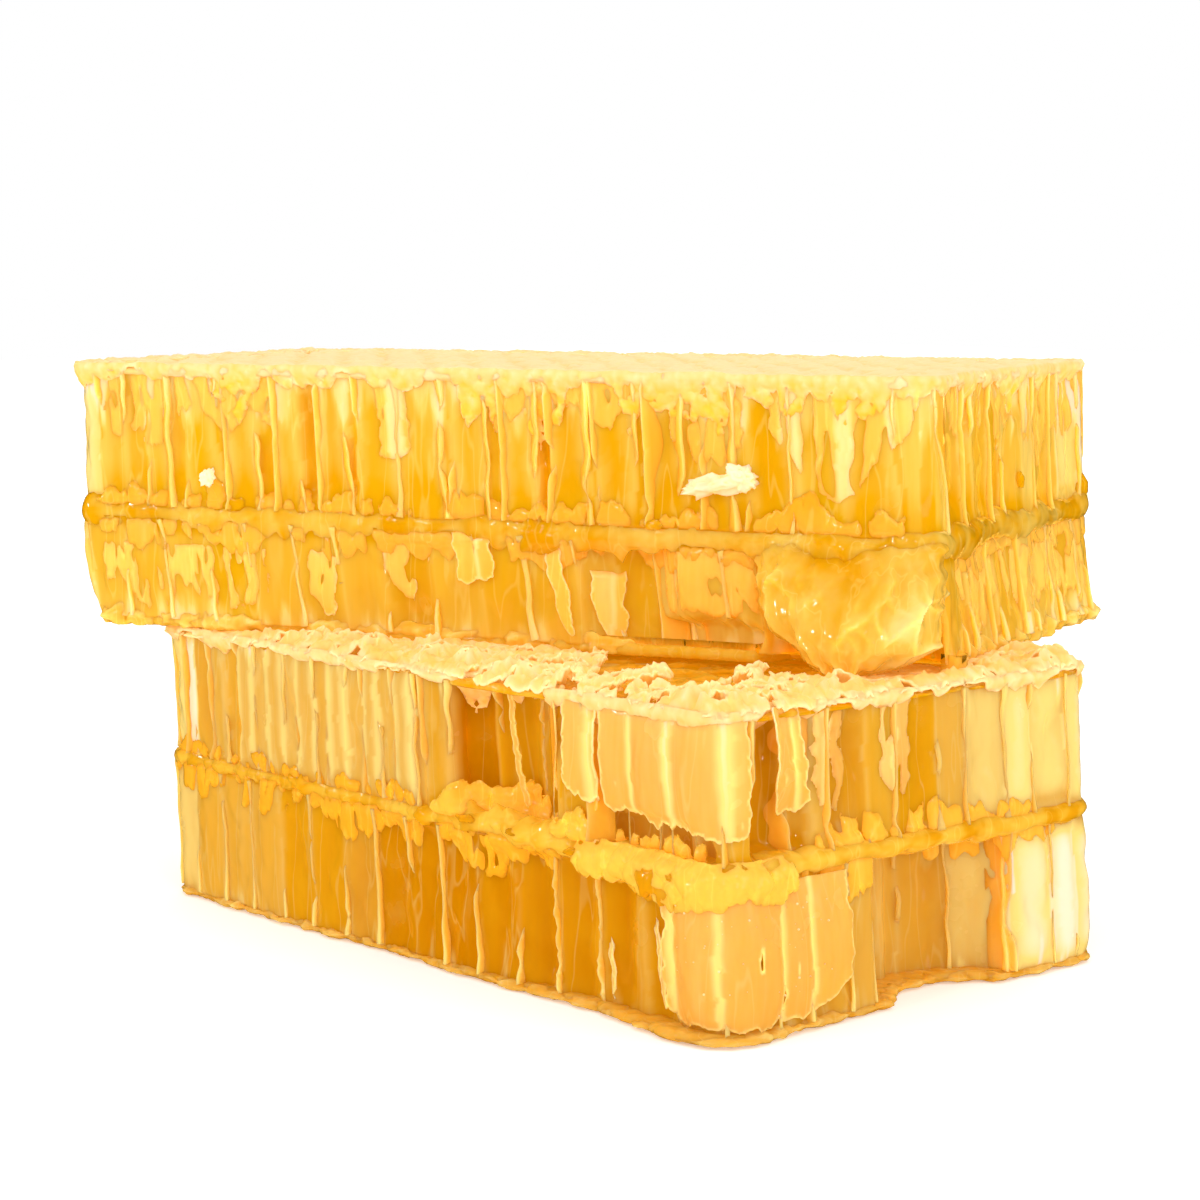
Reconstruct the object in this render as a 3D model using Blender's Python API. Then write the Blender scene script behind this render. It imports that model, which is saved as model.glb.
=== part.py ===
"""A piece of honeycomb: two slabs of cut comb, the upper one lying askew across the lower one.

Each slab is built the way bees build it, but lies flat. From the bottom up it has a sheet of wax
cappings, a layer of cells that open downwards, the midrib, a layer of cells that open upwards, and a
second sheet of cappings. A cell layer is every hexagonal cell that the knife left whole, full of honey,
with the torn walls of the cut cells standing out of it as fins. Lengths are in metres, +Z is up, and the
origin is on the table at the middle of the piece.
"""

import math
import random

import bmesh
import bpy
from mathutils import Vector, noise
from mathutils.geometry import delaunay_2d_cdt

# The cells. Worker cells are 5.3 mm wide between their flat sides.
CELL_WIDTH = 0.0053
CELL_SIDE = CELL_WIDTH / math.sqrt(3)
ROW_STEP = 1.5 * CELL_SIDE
CORNER_SCATTER = 0.00022

# What the knife leaves of the walls between cut cells.
FIN_ROOT = 0.00080
FIN_TIP = 0.00050
FIN_LONGEST = 0.85 * CELL_SIDE
FIN_SHORTEST = 0.0005

# The cut edge of a slab wanders, and some cells that it crosses stay whole.
EDGE_WANDER = 0.0011
EDGE_WAVE = 0.016
EDGE_ROUNDING = 0.0034
WHOLE_CELL_MARGIN = 0.0002
SPARED_CELL_DEPTH = 0.0004
SPARED_CELL_SHARE = 0.35

# The layers of a slab. Neighbouring layers keep a hair's breadth between them.
LAYER_GAP = 0.0003
MIDRIB_THICKNESS = 0.0020
MIDRIB_LEDGE = 0.0008
MIDRIB_RAGGEDNESS = 0.0007
CAPPING_THICKNESS = 0.0011
CAPPING_OVERHANG = 0.0002
CAPPING_RAGGEDNESS = 0.0005
LID_RISE = 0.00045
PLATE_EDGE_STEP = 0.0028
EDGE_SEARCH_STEPS = 4
SLOPE_STEP = 0.0001
PLATE_EDGE_ROUNDING = 0.0004
FLAT_BASE_INSET = 0.0006

# A lump of soft wax and honey has run down near the front corner of the upper slab. It stands on the
# lower slab, in the place of the cells that it came from: a notch, given as a bite.
RUN_BITE = (0.0392, -0.0262, 0.0088, 0.0068)
RUN_FOOT_BITE = (0.0392, -0.0262, 0.0096, 0.0076)
RUN_CLEARANCE = 0.0005
RUN_RINGS = 7
RUN_SIDES = 24
RUN_UNEVENNESS = 0.08
RUN_SWELL_START = 0.24
RUN_SWELL_SPAN = 0.56

# The two slabs. A layer's lean is how many degrees its cells lean away from the midrib, towards the
# slab's right end where it is positive. A bite is an oval notch (x, y, half length, half width) where
# comb was torn out.
LOWER = {
    "name": "lower",
    "length": 0.0866,
    "width": 0.0506,
    "down_depth": 0.0121,
    "up_depth": 0.0115,
    "centre": (0.0004, -0.0003),
    "yaw": 0.0,
    "seed": 3,
    "lean": {"down_cells": 4.0, "up_cells": -4.0},
    "bites": {
        "bottom_capping": [(0.0480, 0.0030, 0.0085, 0.0085)],
        "down_cells": [(0.0470, 0.0030, 0.0100, 0.0100)],
        "up_cells": [(0.0150, -0.0290, 0.0072, 0.0072), (0.0470, -0.0165, 0.0052, 0.0052)],
    },
}
UPPER = {
    "name": "upper",
    "length": 0.0955,
    "width": 0.0516,
    "down_depth": 0.0091,
    "up_depth": 0.0130,
    "centre": (-0.0146, 0.0102),
    "yaw": math.radians(23),
    "seed": 8,
    "lean": {"down_cells": 9.0, "up_cells": -3.0},
    "bites": {
        "bottom_capping": [RUN_FOOT_BITE],
        "down_cells": [RUN_BITE, (0.0165, -0.0300, 0.0070, 0.0070)],
        "up_cells": [],
    },
}

COLOURS = {
    "capping": (0.94, 0.74, 0.34, 1.0),
    "upper_cells": (0.93, 0.52, 0.06, 1.0),
    "lower_cells": (0.80, 0.36, 0.03, 1.0),
    "midrib": (0.90, 0.58, 0.08, 1.0),
}


def clear_scene():
    for thing in list(bpy.data.objects):
        bpy.data.objects.remove(thing, do_unlink=True)


def wax_material(name, colour, roughness):
    """Beeswax or honey: never metallic, glossier where honey wets it."""
    material = bpy.data.materials.new(name)
    material.use_nodes = True
    shader = material.node_tree.nodes["Principled BSDF"]
    shader.inputs["Base Color"].default_value = colour
    shader.inputs["Roughness"].default_value = roughness
    shader.inputs["Metallic"].default_value = 0.0
    return material


def bite_clearance(x, y, bites):
    """About how far a point lies from the nearest notch; negative inside one."""
    clearance = math.inf
    for bite_x, bite_y, half_length, half_width in bites:
        reach = math.hypot((x - bite_x) / half_length, (y - bite_y) / half_width)
        clearance = min(clearance, (reach - 1.0) * min(half_length, half_width))
    return clearance


def depth_inside(slab, x, y, bites=()):
    """How far inside the cut edge of the slab a point lies; negative outside it."""
    beyond_x = abs(x) - (slab["length"] / 2 - EDGE_ROUNDING)
    beyond_y = abs(y) - (slab["width"] / 2 - EDGE_ROUNDING)
    outside = math.hypot(max(beyond_x, 0.0), max(beyond_y, 0.0)) + min(max(beyond_x, beyond_y), 0.0)
    wander = EDGE_WANDER * noise.noise(Vector((x / EDGE_WAVE, y / EDGE_WAVE, slab["seed"])))
    return min(EDGE_ROUNDING - outside + wander, bite_clearance(x, y, bites))


def lean_shift(slab, layer, depth):
    """How far cells of that depth lean away from the spot where they are rooted at the midrib."""
    return Vector((math.tan(math.radians(slab["lean"][layer])) * depth, 0.0))


def cell_centres(slab, offset):
    """The centres of the hexagons over the slab, in rows along its length."""
    columns = int(slab["length"] / CELL_WIDTH / 2) + 2
    rows = int(slab["width"] / ROW_STEP / 2) + 2
    centres = []
    for row in range(-rows, rows + 1):
        shift = CELL_WIDTH / 2 if row % 2 else 0.0
        for column in range(-columns, columns + 1):
            centres.append((column * CELL_WIDTH + shift + offset[0], row * ROW_STEP + offset[1]))
    return centres


def cell_corners(centre):
    """The six corners of a cell, anticlockwise, one of them pointing along -Y."""
    corners = []
    for k in range(6):
        angle = math.radians(60 * k - 90)
        corners.append((centre[0] + CELL_SIDE * math.cos(angle), centre[1] + CELL_SIDE * math.sin(angle)))
    return corners


def whole_cells(slab, offset, bites):
    """The cells that the knife left whole, and those cut ones that kept their honey."""
    chance = random.Random(slab["seed"])
    kept = []
    for centre in cell_centres(slab, offset):
        spared = chance.random() < SPARED_CELL_SHARE
        corners = cell_corners(centre)
        if min(depth_inside(slab, x, y, bites) for x, y in corners) > WHOLE_CELL_MARGIN:
            kept.append(corners)
        elif spared and depth_inside(slab, *centre) > SPARED_CELL_DEPTH:
            if min(bite_clearance(x, y, bites) for x, y in corners) > WHOLE_CELL_MARGIN:
                kept.append(corners)
    return kept


def outline_of(cells):
    """The outer boundary of touching cells, as an anticlockwise loop of corners.

    Three cells meet at each corner of a comb, so every corner on the boundary has one way on."""

    def key(corner):
        return (round(corner[0] * 1e6), round(corner[1] * 1e6))

    sides = {}
    for corners in cells:
        for start, end in zip(corners, corners[1:] + corners[:1]):
            sides[key(start), key(end)] = (start, end)
    way_on = {start: (end, place[0]) for (start, end), place in sides.items() if (end, start) not in sides}
    loops = []
    while way_on:
        first = next(iter(way_on))
        here = first
        loop = []
        while here in way_on:
            here, place = way_on.pop(here)
            loop.append(Vector(place))
        loops.append(loop)
    return max(loops, key=len)


def fin_length(slab, corner, outward, bites):
    """How far the wall that leaves a corner runs before the knife's cut ends it."""
    steps = 12
    for step in range(1, steps + 1):
        reach = FIN_LONGEST * step / steps
        point = corner + outward * reach
        if depth_inside(slab, point.x, point.y, bites) < 0:
            return FIN_LONGEST * (step - 1) / steps
    return FIN_LONGEST


def finned_outline(slab, loop, bites):
    """The outline with the torn wall of the cut cells at each corner that points outwards."""
    chance = random.Random(slab["seed"] + 100)
    count = len(loop)
    points = []
    for i, corner in enumerate(loop):
        before = loop[i - 1]
        after = loop[(i + 1) % count]
        turn = (corner - before).cross(after - corner)
        outward = (corner * 2 - before - after).normalized()
        reach = fin_length(slab, corner, outward, bites) * chance.uniform(0.7, 1.0)
        scatter = Vector((chance.uniform(-1, 1), chance.uniform(-1, 1))) * CORNER_SCATTER
        if turn < 0 or reach < FIN_SHORTEST:
            points.append(corner + scatter)
            continue
        along = Vector((-outward.y, outward.x))
        points.append(corner - along * FIN_ROOT / 2)
        points.append(corner + outward * reach - along * FIN_TIP / 2)
        points.append(corner + outward * reach + along * FIN_TIP / 2)
        points.append(corner + along * FIN_ROOT / 2)
    return points


def plate_outline(slab, overhang, raggedness, seed, bites=()):
    """The cut edge of a slab as an even, slightly ragged loop, anticlockwise from its right end."""
    half_length = slab["length"] / 2
    half_width = slab["width"] / 2
    around = 2 * (slab["length"] + slab["width"])
    count = int(around / PLATE_EDGE_STEP)
    chance = random.Random(slab["seed"] * 10 + seed)
    points = []
    for k in range(count):
        along = around * k / count
        if along < slab["width"]:
            point = Vector((half_length, along - half_width))
        elif along < slab["width"] + slab["length"]:
            point = Vector((half_length - (along - slab["width"]), half_width))
        elif along < 2 * slab["width"] + slab["length"]:
            point = Vector((-half_length, half_width - (along - slab["width"] - slab["length"])))
        else:
            point = Vector((along - 2 * slab["width"] - slab["length"] - half_length, -half_width))
        wanted = -overhang + raggedness * chance.uniform(-1, 1)
        for _ in range(EDGE_SEARCH_STEPS):
            here = depth_inside(slab, point.x, point.y, bites)
            slope_x = depth_inside(slab, point.x + SLOPE_STEP, point.y, bites) - here
            slope_y = depth_inside(slab, point.x, point.y + SLOPE_STEP, bites) - here
            slope = Vector((slope_x, slope_y))
            if slope.length > 0:
                point = point - slope.normalized() * (here - wanted)
        points.append(point)
    return points


def shrunk(points, distance):
    """A loop drawn in by about that distance along its own normals."""
    count = len(points)
    drawn = []
    for i, point in enumerate(points):
        tangent = (points[(i + 1) % count] - points[i - 1]).normalized()
        drawn.append(point + Vector((-tangent.y, tangent.x)) * distance)
    return drawn


def raise_layers(mesh, face, levels):
    """Extrudes the face up through (height, loop) levels, one ring of side faces for each."""
    for height, loop in levels:
        made = bmesh.ops.extrude_face_region(mesh, geom=[face])["geom"]
        old = face
        face = next(part for part in made if isinstance(part, bmesh.types.BMFace))
        if old.is_valid and old in mesh.faces[:]:
            mesh.faces.remove(old)
        for vertex, place in zip(face.verts, loop):
            vertex.co = (place.x, place.y, height)
    return face


def stacked_solid(levels):
    """A closed solid through loops of equal count, given as (height, loop) from the bottom up."""
    mesh = bmesh.new()
    height, loop = levels[0]
    base = mesh.faces.new([mesh.verts.new((point.x, point.y, height)) for point in loop])
    floor_corners = list(base.verts)
    raise_layers(mesh, base, levels[1:])
    mesh.faces.new(reversed(floor_corners))
    bmesh.ops.recalc_face_normals(mesh, faces=mesh.faces)
    return mesh


def new_object(name, mesh, material, parent, height):
    data = bpy.data.meshes.new(name)
    mesh.to_mesh(data)
    mesh.free()
    data.materials.append(material)
    made = bpy.data.objects.new(name, data)
    made.parent = parent
    made.location = (0.0, 0.0, height)
    bpy.data.collections["honeycomb_piece"].objects.link(made)
    return made


def add_cells(slab, layer, depth, offset, material, parent, height):
    """One layer of cells. Its cells lean a little, rooted at the midrib."""
    bites = slab["bites"][layer]
    loop = finned_outline(slab, outline_of(whole_cells(slab, offset, bites)), bites)
    levels = []
    for share in (0.0, 1.0):
        from_midrib = share if layer == "up_cells" else 1.0 - share
        shift = lean_shift(slab, layer, depth * from_midrib)
        levels.append((depth * share, [point + shift for point in loop]))
    return new_object(f"{slab['name']}_{layer}", stacked_solid(levels), material, parent, height)


def add_midrib(slab, material, parent, height):
    """The wall that both layers of cells are built on, standing out of the cut as a ragged ledge."""
    edge = plate_outline(slab, MIDRIB_LEDGE, MIDRIB_RAGGEDNESS, 1)
    drawn_in = shrunk(edge, PLATE_EDGE_ROUNDING)
    levels = [
        (0.0, drawn_in),
        (0.3 * MIDRIB_THICKNESS, edge),
        (0.7 * MIDRIB_THICKNESS, edge),
        (MIDRIB_THICKNESS, drawn_in),
    ]
    return new_object(f"{slab['name']}_midrib", stacked_solid(levels), material, parent, height)


def add_bottom_capping(slab, material, parent, height):
    """The sheet of cappings that the slab lies on, pressed flat."""
    bites = slab["bites"]["bottom_capping"]
    shift = lean_shift(slab, "down_cells", slab["down_depth"])
    edge = [point + shift for point in plate_outline(slab, CAPPING_OVERHANG, CAPPING_RAGGEDNESS, 2, bites)]
    levels = [
        (0.0, shrunk(edge, FLAT_BASE_INSET)),
        (CAPPING_THICKNESS / 2, edge),
        (CAPPING_THICKNESS, shrunk(edge, PLATE_EDGE_ROUNDING)),
    ]
    return new_object(f"{slab['name']}_bottom_capping", stacked_solid(levels), material, parent, height)


def add_top_capping(slab, offset, material, parent, height):
    """The sheet of cappings on top, with a low domed lid over every whole cell."""
    edge = shrunk(plate_outline(slab, CAPPING_OVERHANG, CAPPING_RAGGEDNESS, 3), PLATE_EDGE_ROUNDING)
    between_lids = CAPPING_THICKNESS - LID_RISE
    places = [(point, between_lids) for point in edge]
    corners_seen = set()
    for centre in cell_centres(slab, offset):
        corners = cell_corners(centre)
        if min(depth_inside(slab, x, y) for x, y in corners) < 2 * PLATE_EDGE_ROUNDING + CAPPING_RAGGEDNESS:
            continue
        places.append((Vector(centre), CAPPING_THICKNESS))
        for corner in corners:
            key = (round(corner[0] * 1e6), round(corner[1] * 1e6))
            if key not in corners_seen:
                corners_seen.add(key)
                places.append((Vector(corner), between_lids))
    count = len(edge)
    rim = [(i, (i + 1) % count) for i in range(count)]
    flat, _, faces, _, _, _ = delaunay_2d_cdt([point for point, _ in places], rim, [], 1, 1e-7)
    mesh = bmesh.new()
    shift = lean_shift(slab, "up_cells", slab["up_depth"])
    top = [mesh.verts.new((*(point + shift), places[i][1])) for i, point in enumerate(flat)]
    for face in faces:
        mesh.faces.new([top[i] for i in face])
    skirt = [side for side in mesh.edges if side.is_boundary]
    made = bmesh.ops.extrude_edge_only(mesh, edges=skirt)["geom"]
    for vertex in [part for part in made if isinstance(part, bmesh.types.BMVert)]:
        vertex.co.z = 0.0
    loose = [part for part in made if isinstance(part, bmesh.types.BMEdge) and part.is_boundary]
    bmesh.ops.contextual_create(mesh, geom=loose)
    bmesh.ops.recalc_face_normals(mesh, faces=mesh.faces)
    return new_object(f"{slab['name']}_top_capping", mesh, material, parent, height)


def add_slab(slab, base, root, materials):
    """Stacks the five layers of a slab on the height base. Returns its parent and the height of its top."""
    parent = bpy.data.objects.new(f"{slab['name']}_slab", None)
    parent.parent = root
    parent.location = (*slab["centre"], base)
    parent.rotation_euler = (0.0, 0.0, slab["yaw"])
    bpy.data.collections["honeycomb_piece"].objects.link(parent)
    cells = materials[f"{slab['name']}_cells"]
    half_a_cell = (CELL_WIDTH / 2, CELL_SIDE / 2)
    add_bottom_capping(slab, materials["capping"], parent, 0.0)
    height = CAPPING_THICKNESS + LAYER_GAP
    add_cells(slab, "down_cells", slab["down_depth"], half_a_cell, cells, parent, height)
    height += slab["down_depth"] + LAYER_GAP
    add_midrib(slab, materials["midrib"], parent, height)
    height += MIDRIB_THICKNESS + LAYER_GAP
    add_cells(slab, "up_cells", slab["up_depth"], (0.0, 0.0), cells, parent, height)
    height += slab["up_depth"] + LAYER_GAP
    add_top_capping(slab, (0.0, 0.0), materials["capping"], parent, height)
    return parent, base + height + CAPPING_THICKNESS


def add_corner_run(slab, material, parent):
    """The sagging lump near the front corner of the upper slab, fattest halfway down."""
    height = CAPPING_THICKNESS + LAYER_GAP + slab["down_depth"]
    x, y, half_length, half_width = RUN_BITE
    chance = random.Random(slab["seed"])
    bumps = [1.0 - RUN_UNEVENNESS * chance.random() for _ in range(RUN_SIDES)]
    levels = []
    for ring in range(RUN_RINGS):
        share = ring / (RUN_RINGS - 1)
        swell = math.sin(math.pi * (RUN_SWELL_START + RUN_SWELL_SPAN * share))
        loop = []
        for side, bump in enumerate(bumps):
            angle = 2 * math.pi * side / RUN_SIDES
            out = (half_length - RUN_CLEARANCE) * swell * bump
            over = (half_width - RUN_CLEARANCE) * swell * bump
            loop.append(Vector((x + out * math.cos(angle), y + over * math.sin(angle))))
        shift = lean_shift(slab, "down_cells", height * (1.0 - share))
        levels.append((height * share, [point + shift for point in loop]))
    return new_object(f"{slab['name']}_corner_run", stacked_solid(levels), material, parent, 0.0)


def stand_in_the_middle(root):
    """Moves the root so that the origin is at the bottom, in the middle of the whole piece."""
    bpy.context.view_layer.update()
    spots = []
    for thing in bpy.data.collections["honeycomb_piece"].objects:
        if thing.type == "MESH":
            spots += [thing.matrix_world @ vertex.co for vertex in thing.data.vertices]
    for axis in range(2):
        lowest = min(spot[axis] for spot in spots)
        highest = max(spot[axis] for spot in spots)
        root.location[axis] = -(lowest + highest) / 2
    bpy.context.view_layer.update()


def main():
    clear_scene()
    collection = bpy.data.collections.new("honeycomb_piece")
    bpy.context.scene.collection.children.link(collection)
    root = bpy.data.objects.new("honeycomb_root", None)
    collection.objects.link(root)
    materials = {
        "capping": wax_material("pale_wax_capping", COLOURS["capping"], 0.55),
        "upper_cells": wax_material("light_honey_cells", COLOURS["upper_cells"], 0.25),
        "lower_cells": wax_material("amber_honey_cells", COLOURS["lower_cells"], 0.25),
        "midrib": wax_material("wet_yellow_midrib", COLOURS["midrib"], 0.30),
    }
    _, top_of_lower = add_slab(LOWER, 0.0, root, materials)
    upper_slab, _ = add_slab(UPPER, top_of_lower + LAYER_GAP, root, materials)
    add_corner_run(UPPER, materials["midrib"], upper_slab)
    stand_in_the_middle(root)


main()
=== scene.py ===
import math
import random

import bpy
import numpy as np
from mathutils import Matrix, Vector, noise


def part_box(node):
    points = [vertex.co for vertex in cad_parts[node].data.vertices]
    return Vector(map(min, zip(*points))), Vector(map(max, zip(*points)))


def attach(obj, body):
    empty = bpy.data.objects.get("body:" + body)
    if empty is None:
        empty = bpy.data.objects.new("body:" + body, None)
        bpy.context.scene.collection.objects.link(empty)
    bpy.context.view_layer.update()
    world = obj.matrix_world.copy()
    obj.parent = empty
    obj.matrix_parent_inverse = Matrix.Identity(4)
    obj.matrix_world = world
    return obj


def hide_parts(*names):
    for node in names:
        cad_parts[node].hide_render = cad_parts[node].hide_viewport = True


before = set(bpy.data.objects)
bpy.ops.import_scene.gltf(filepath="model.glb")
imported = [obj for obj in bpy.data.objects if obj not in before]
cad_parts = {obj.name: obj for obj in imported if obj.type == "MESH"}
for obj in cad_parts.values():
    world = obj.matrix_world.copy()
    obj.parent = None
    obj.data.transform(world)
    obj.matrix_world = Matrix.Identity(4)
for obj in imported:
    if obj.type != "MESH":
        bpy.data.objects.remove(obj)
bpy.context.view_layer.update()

mm = 0.001

# The comb: worker cells, and how the knife's cut wanders. The same values shaped the solids.
comb = {
    "cellWidth": 5.3 * mm,
    "edgeRounding": 3.4 * mm,
    "edgeWander": 1.1 * mm,
    "edgeWave": 16 * mm,
    "step": 0.32 * mm,
}
cellWidth = comb["cellWidth"]
cellSide = cellWidth / math.sqrt(3)
rowStep = 1.5 * cellSide

# Where each slab lies, how its cells lean away from the midrib in degrees, and the notches torn out of
# it as (x, y, half length, half width). Slab x runs along its length, and -y out of its front.
lower = {
    "name": "lower",
    "length": 86.6 * mm,
    "width": 50.6 * mm,
    "centre": (12.1 * mm, -10.9 * mm),
    "yaw": 0.0,
    "seed": 3,
    "lean": {"down": 4.0, "up": -4.0},
    "notches": {
        "base": [(48.0, 3.0, 8.5, 8.5)],
        "down": [(47.0, 3.0, 10.0, 10.0)],
        "up": [(15.0, -29.0, 7.2, 7.2), (47.0, -16.5, 5.2, 5.2)],
    },
    "flanges": {"base": [(32.0, -25.3, 6.0, 1.4), (39.5, -25.3, 5.5, 1.6)]},
}
upper = {
    "name": "upper",
    "length": 95.5 * mm,
    "width": 51.6 * mm,
    "centre": (-2.9 * mm, -0.4 * mm),
    "yaw": math.radians(23),
    "seed": 8,
    "lean": {"down": 9.0, "up": -3.0},
    "notches": {
        "base": [(39.2, -26.2, 9.6, 7.6)],
        "down": [(39.2, -26.2, 8.8, 6.8), (16.5, -30.0, 7.0, 7.0)],
        "up": [],
    },
    "flanges": {},
}
slabs = (lower, upper)
for slab in slabs:
    slab["baseBox"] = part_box(f"{slab['name']}_bottom_capping")
    slab["midribBox"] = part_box(f"{slab['name']}_midrib")
    slab["topBox"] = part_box(f"{slab['name']}_top_capping")
    slab["zBase"] = slab["baseBox"][0][2]
    slab["zBaseTop"] = slab["baseBox"][1][2]
    slab["zMidrib"] = slab["midribBox"][0][2]
    slab["zMidribTop"] = slab["midribBox"][1][2]
    slab["zTop"] = slab["topBox"][0][2]
    slab["zTopTop"] = slab["topBox"][1][2]


# ---------- numbers and noise


def hashed(x, y, z, seed):
    # evenly spread numbers from 0 to 1 for whole-number places
    h = (x * 374761393 + y * 668265263 + z * 1440662683 + seed * 362437) & 0xFFFFFFFF
    h = ((h ^ (h >> 13)) * 1274126177) & 0xFFFFFFFF
    h = ((h ^ (h >> 16)) * 2246822519) & 0xFFFFFFFF
    h = h ^ (h >> 15)
    return (h & 0xFFFFFF) / float(0xFFFFFF)


def softNoise(x, y, z=0.0, seed=0):
    # gradient noise, about -1 to 1, with features one unit wide
    x, y, z = np.broadcast_arrays(np.asarray(x, float), np.asarray(y, float), np.asarray(z, float))
    cornerX = np.floor(x)
    cornerY = np.floor(y)
    cornerZ = np.floor(z)
    fx = x - cornerX
    fy = y - cornerY
    fz = z - cornerZ
    ix = cornerX.astype(np.int64)
    iy = cornerY.astype(np.int64)
    iz = cornerZ.astype(np.int64)
    wx = fx * fx * fx * (fx * (fx * 6 - 15) + 10)
    wy = fy * fy * fy * (fy * (fy * 6 - 15) + 10)
    wz = fz * fz * fz * (fz * (fz * 6 - 15) + 10)
    total = np.zeros(x.shape)
    for i in (0, 1):
        for j in (0, 1):
            for k in (0, 1):
                gx = hashed(ix + i, iy + j, iz + k, seed) * 2 - 1
                gy = hashed(ix + i, iy + j, iz + k, seed + 101) * 2 - 1
                gz = hashed(ix + i, iy + j, iz + k, seed + 202) * 2 - 1
                weight = (wx if i else 1 - wx) * (wy if j else 1 - wy) * (wz if k else 1 - wz)
                total += weight * (gx * (fx - i) + gy * (fy - j) + gz * (fz - k))
    return np.clip(total * 1.6, -1.0, 1.0)


def layeredNoise(x, y, z=0.0, seed=0, layers=3, fall=0.5):
    total = 0.0
    size = 1.0
    weight = 1.0
    for layer in range(layers):
        total = total + weight * softNoise(x * size, y * size, np.asarray(z) * size, seed + 17 * layer)
        size *= 2.03
        weight *= fall
    return total


def smoothStep(low, high, value):
    t = np.clip((value - low) / (high - low), 0.0, 1.0)
    return t * t * (3 - 2 * t)


def smoothAlong(values, sigma, axis, wrap):
    # a Gaussian blur along one axis of a grid; sigma in samples
    if sigma <= 0.05:
        return values
    reach = int(math.ceil(3 * sigma))
    weights = np.exp(-0.5 * (np.arange(-reach, reach + 1) / sigma) ** 2)
    weights /= weights.sum()
    widths = [(0, 0)] * values.ndim
    widths[axis] = (reach, reach)
    padded = np.pad(values, widths, mode="wrap" if wrap else "edge")
    result = np.zeros_like(values)
    for k, weight in enumerate(weights):
        part = [slice(None)] * values.ndim
        part[axis] = slice(k, k + values.shape[axis])
        result += weight * padded[tuple(part)]
    return result


# ---------- the cut edge and the cells of a slab


def notchClearance(x, y, notches):
    clearance = np.full(np.shape(x), 1.0)
    for notchX, notchY, halfLength, halfWidth in notches:
        reach = np.hypot((x / mm - notchX) / halfLength, (y / mm - notchY) / halfWidth)
        clearance = np.minimum(clearance, (reach - 1.0) * min(halfLength, halfWidth) * mm)
    return clearance


def rimDepth(slab, x, y, notches=()):
    # how far a point lies inside the cut edge of the slab
    x = np.asarray(x, float)
    y = np.asarray(y, float)
    beyondX = np.abs(x) - (slab["length"] / 2 - comb["edgeRounding"])
    beyondY = np.abs(y) - (slab["width"] / 2 - comb["edgeRounding"])
    outside = np.hypot(np.maximum(beyondX, 0.0), np.maximum(beyondY, 0.0))
    outside += np.minimum(np.maximum(beyondX, beyondY), 0.0)
    wave = comb["edgeWave"]
    flatX = np.ravel(x) / wave
    flatY = np.ravel(y) / wave
    wander = [noise.noise(Vector((a, b, slab["seed"]))) for a, b in zip(flatX, flatY)]
    wander = comb["edgeWander"] * np.array(wander).reshape(x.shape)
    return np.minimum(comb["edgeRounding"] - outside + wander, notchClearance(x, y, notches))


def evenLoop(points, step):
    # the same closed loop with evenly spaced points
    closed = np.vstack([points, points[:1]])
    lengths = np.hypot(*np.diff(closed, axis=0).T)
    travelled = np.concatenate([[0.0], np.cumsum(lengths)])
    count = int(round(travelled[-1] / step))
    wanted = np.linspace(0.0, travelled[-1], count, endpoint=False)
    return np.column_stack([np.interp(wanted, travelled, closed[:, k]) for k in (0, 1)])


def outwardNormals(points):
    tangent = np.roll(points, -1, axis=0) - np.roll(points, 1, axis=0)
    tangent /= np.maximum(np.hypot(*tangent.T), 1e-12)[:, None]
    return np.column_stack([tangent[:, 1], -tangent[:, 0]])


def cutLoop(slab, layer, step=None):
    # the knife's cut round a layer, anticlockwise from the right end's front corner
    step = step or comb["step"]
    notches = slab["notches"].get(layer, ())
    halfLength = slab["length"] / 2
    halfWidth = slab["width"] / 2
    corners = np.array([
        (halfLength, -halfWidth),
        (halfLength, halfWidth),
        (-halfLength, halfWidth),
        (-halfLength, -halfWidth),
    ])
    points = evenLoop(corners, 0.5 * mm)
    probe = 0.1 * mm
    for _ in range(6):
        here = rimDepth(slab, points[:, 0], points[:, 1], notches)
        slopeX = rimDepth(slab, points[:, 0] + probe, points[:, 1], notches) - here
        slopeY = rimDepth(slab, points[:, 0], points[:, 1] + probe, notches) - here
        slope = np.column_stack([slopeX, slopeY])
        slope /= np.maximum(np.hypot(*slope.T), 1e-12)[:, None]
        points = points - slope * here[:, None]
    points = evenLoop(smoothAlong(points, 1.0, 0, True), step)
    points = smoothAlong(points, 0.8, 0, True)
    return points, outwardNormals(points)


def latticeOffset(layer):
    return (cellWidth / 2, cellSide / 2) if layer == "down" else (0.0, 0.0)


def cellAt(x, y, layer):
    # the (column, row) of the cell that holds each point, and how far the point is from its wall
    offsetX, offsetY = latticeOffset(layer)
    best = None
    for rowShift in (-1, 0, 1):
        row = np.floor((y - offsetY) / rowStep + 0.5) + rowShift
        odd = np.mod(row, 2) * cellWidth / 2
        for columnShift in (0, 1):
            column = np.floor((x - offsetX - odd) / cellWidth) + columnShift
            centreX = column * cellWidth + odd + offsetX
            centreY = row * rowStep + offsetY
            apart = np.hypot(x - centreX, y - centreY)
            if best is None:
                best = [apart, column, row, centreX, centreY]
            else:
                closer = apart < best[0]
                for k, value in enumerate((apart, column, row, centreX, centreY)):
                    best[k] = np.where(closer, value, best[k])
    _, column, row, centreX, centreY = best
    wall = np.full(np.shape(x), 1.0)
    for degrees in (0, 60, 120):
        angle = math.radians(degrees)
        along = (x - centreX) * math.cos(angle) + (y - centreY) * math.sin(angle)
        wall = np.minimum(wall, cellWidth / 2 - np.abs(along))
    return column.astype(int), row.astype(int), centreX, centreY, wall


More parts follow.
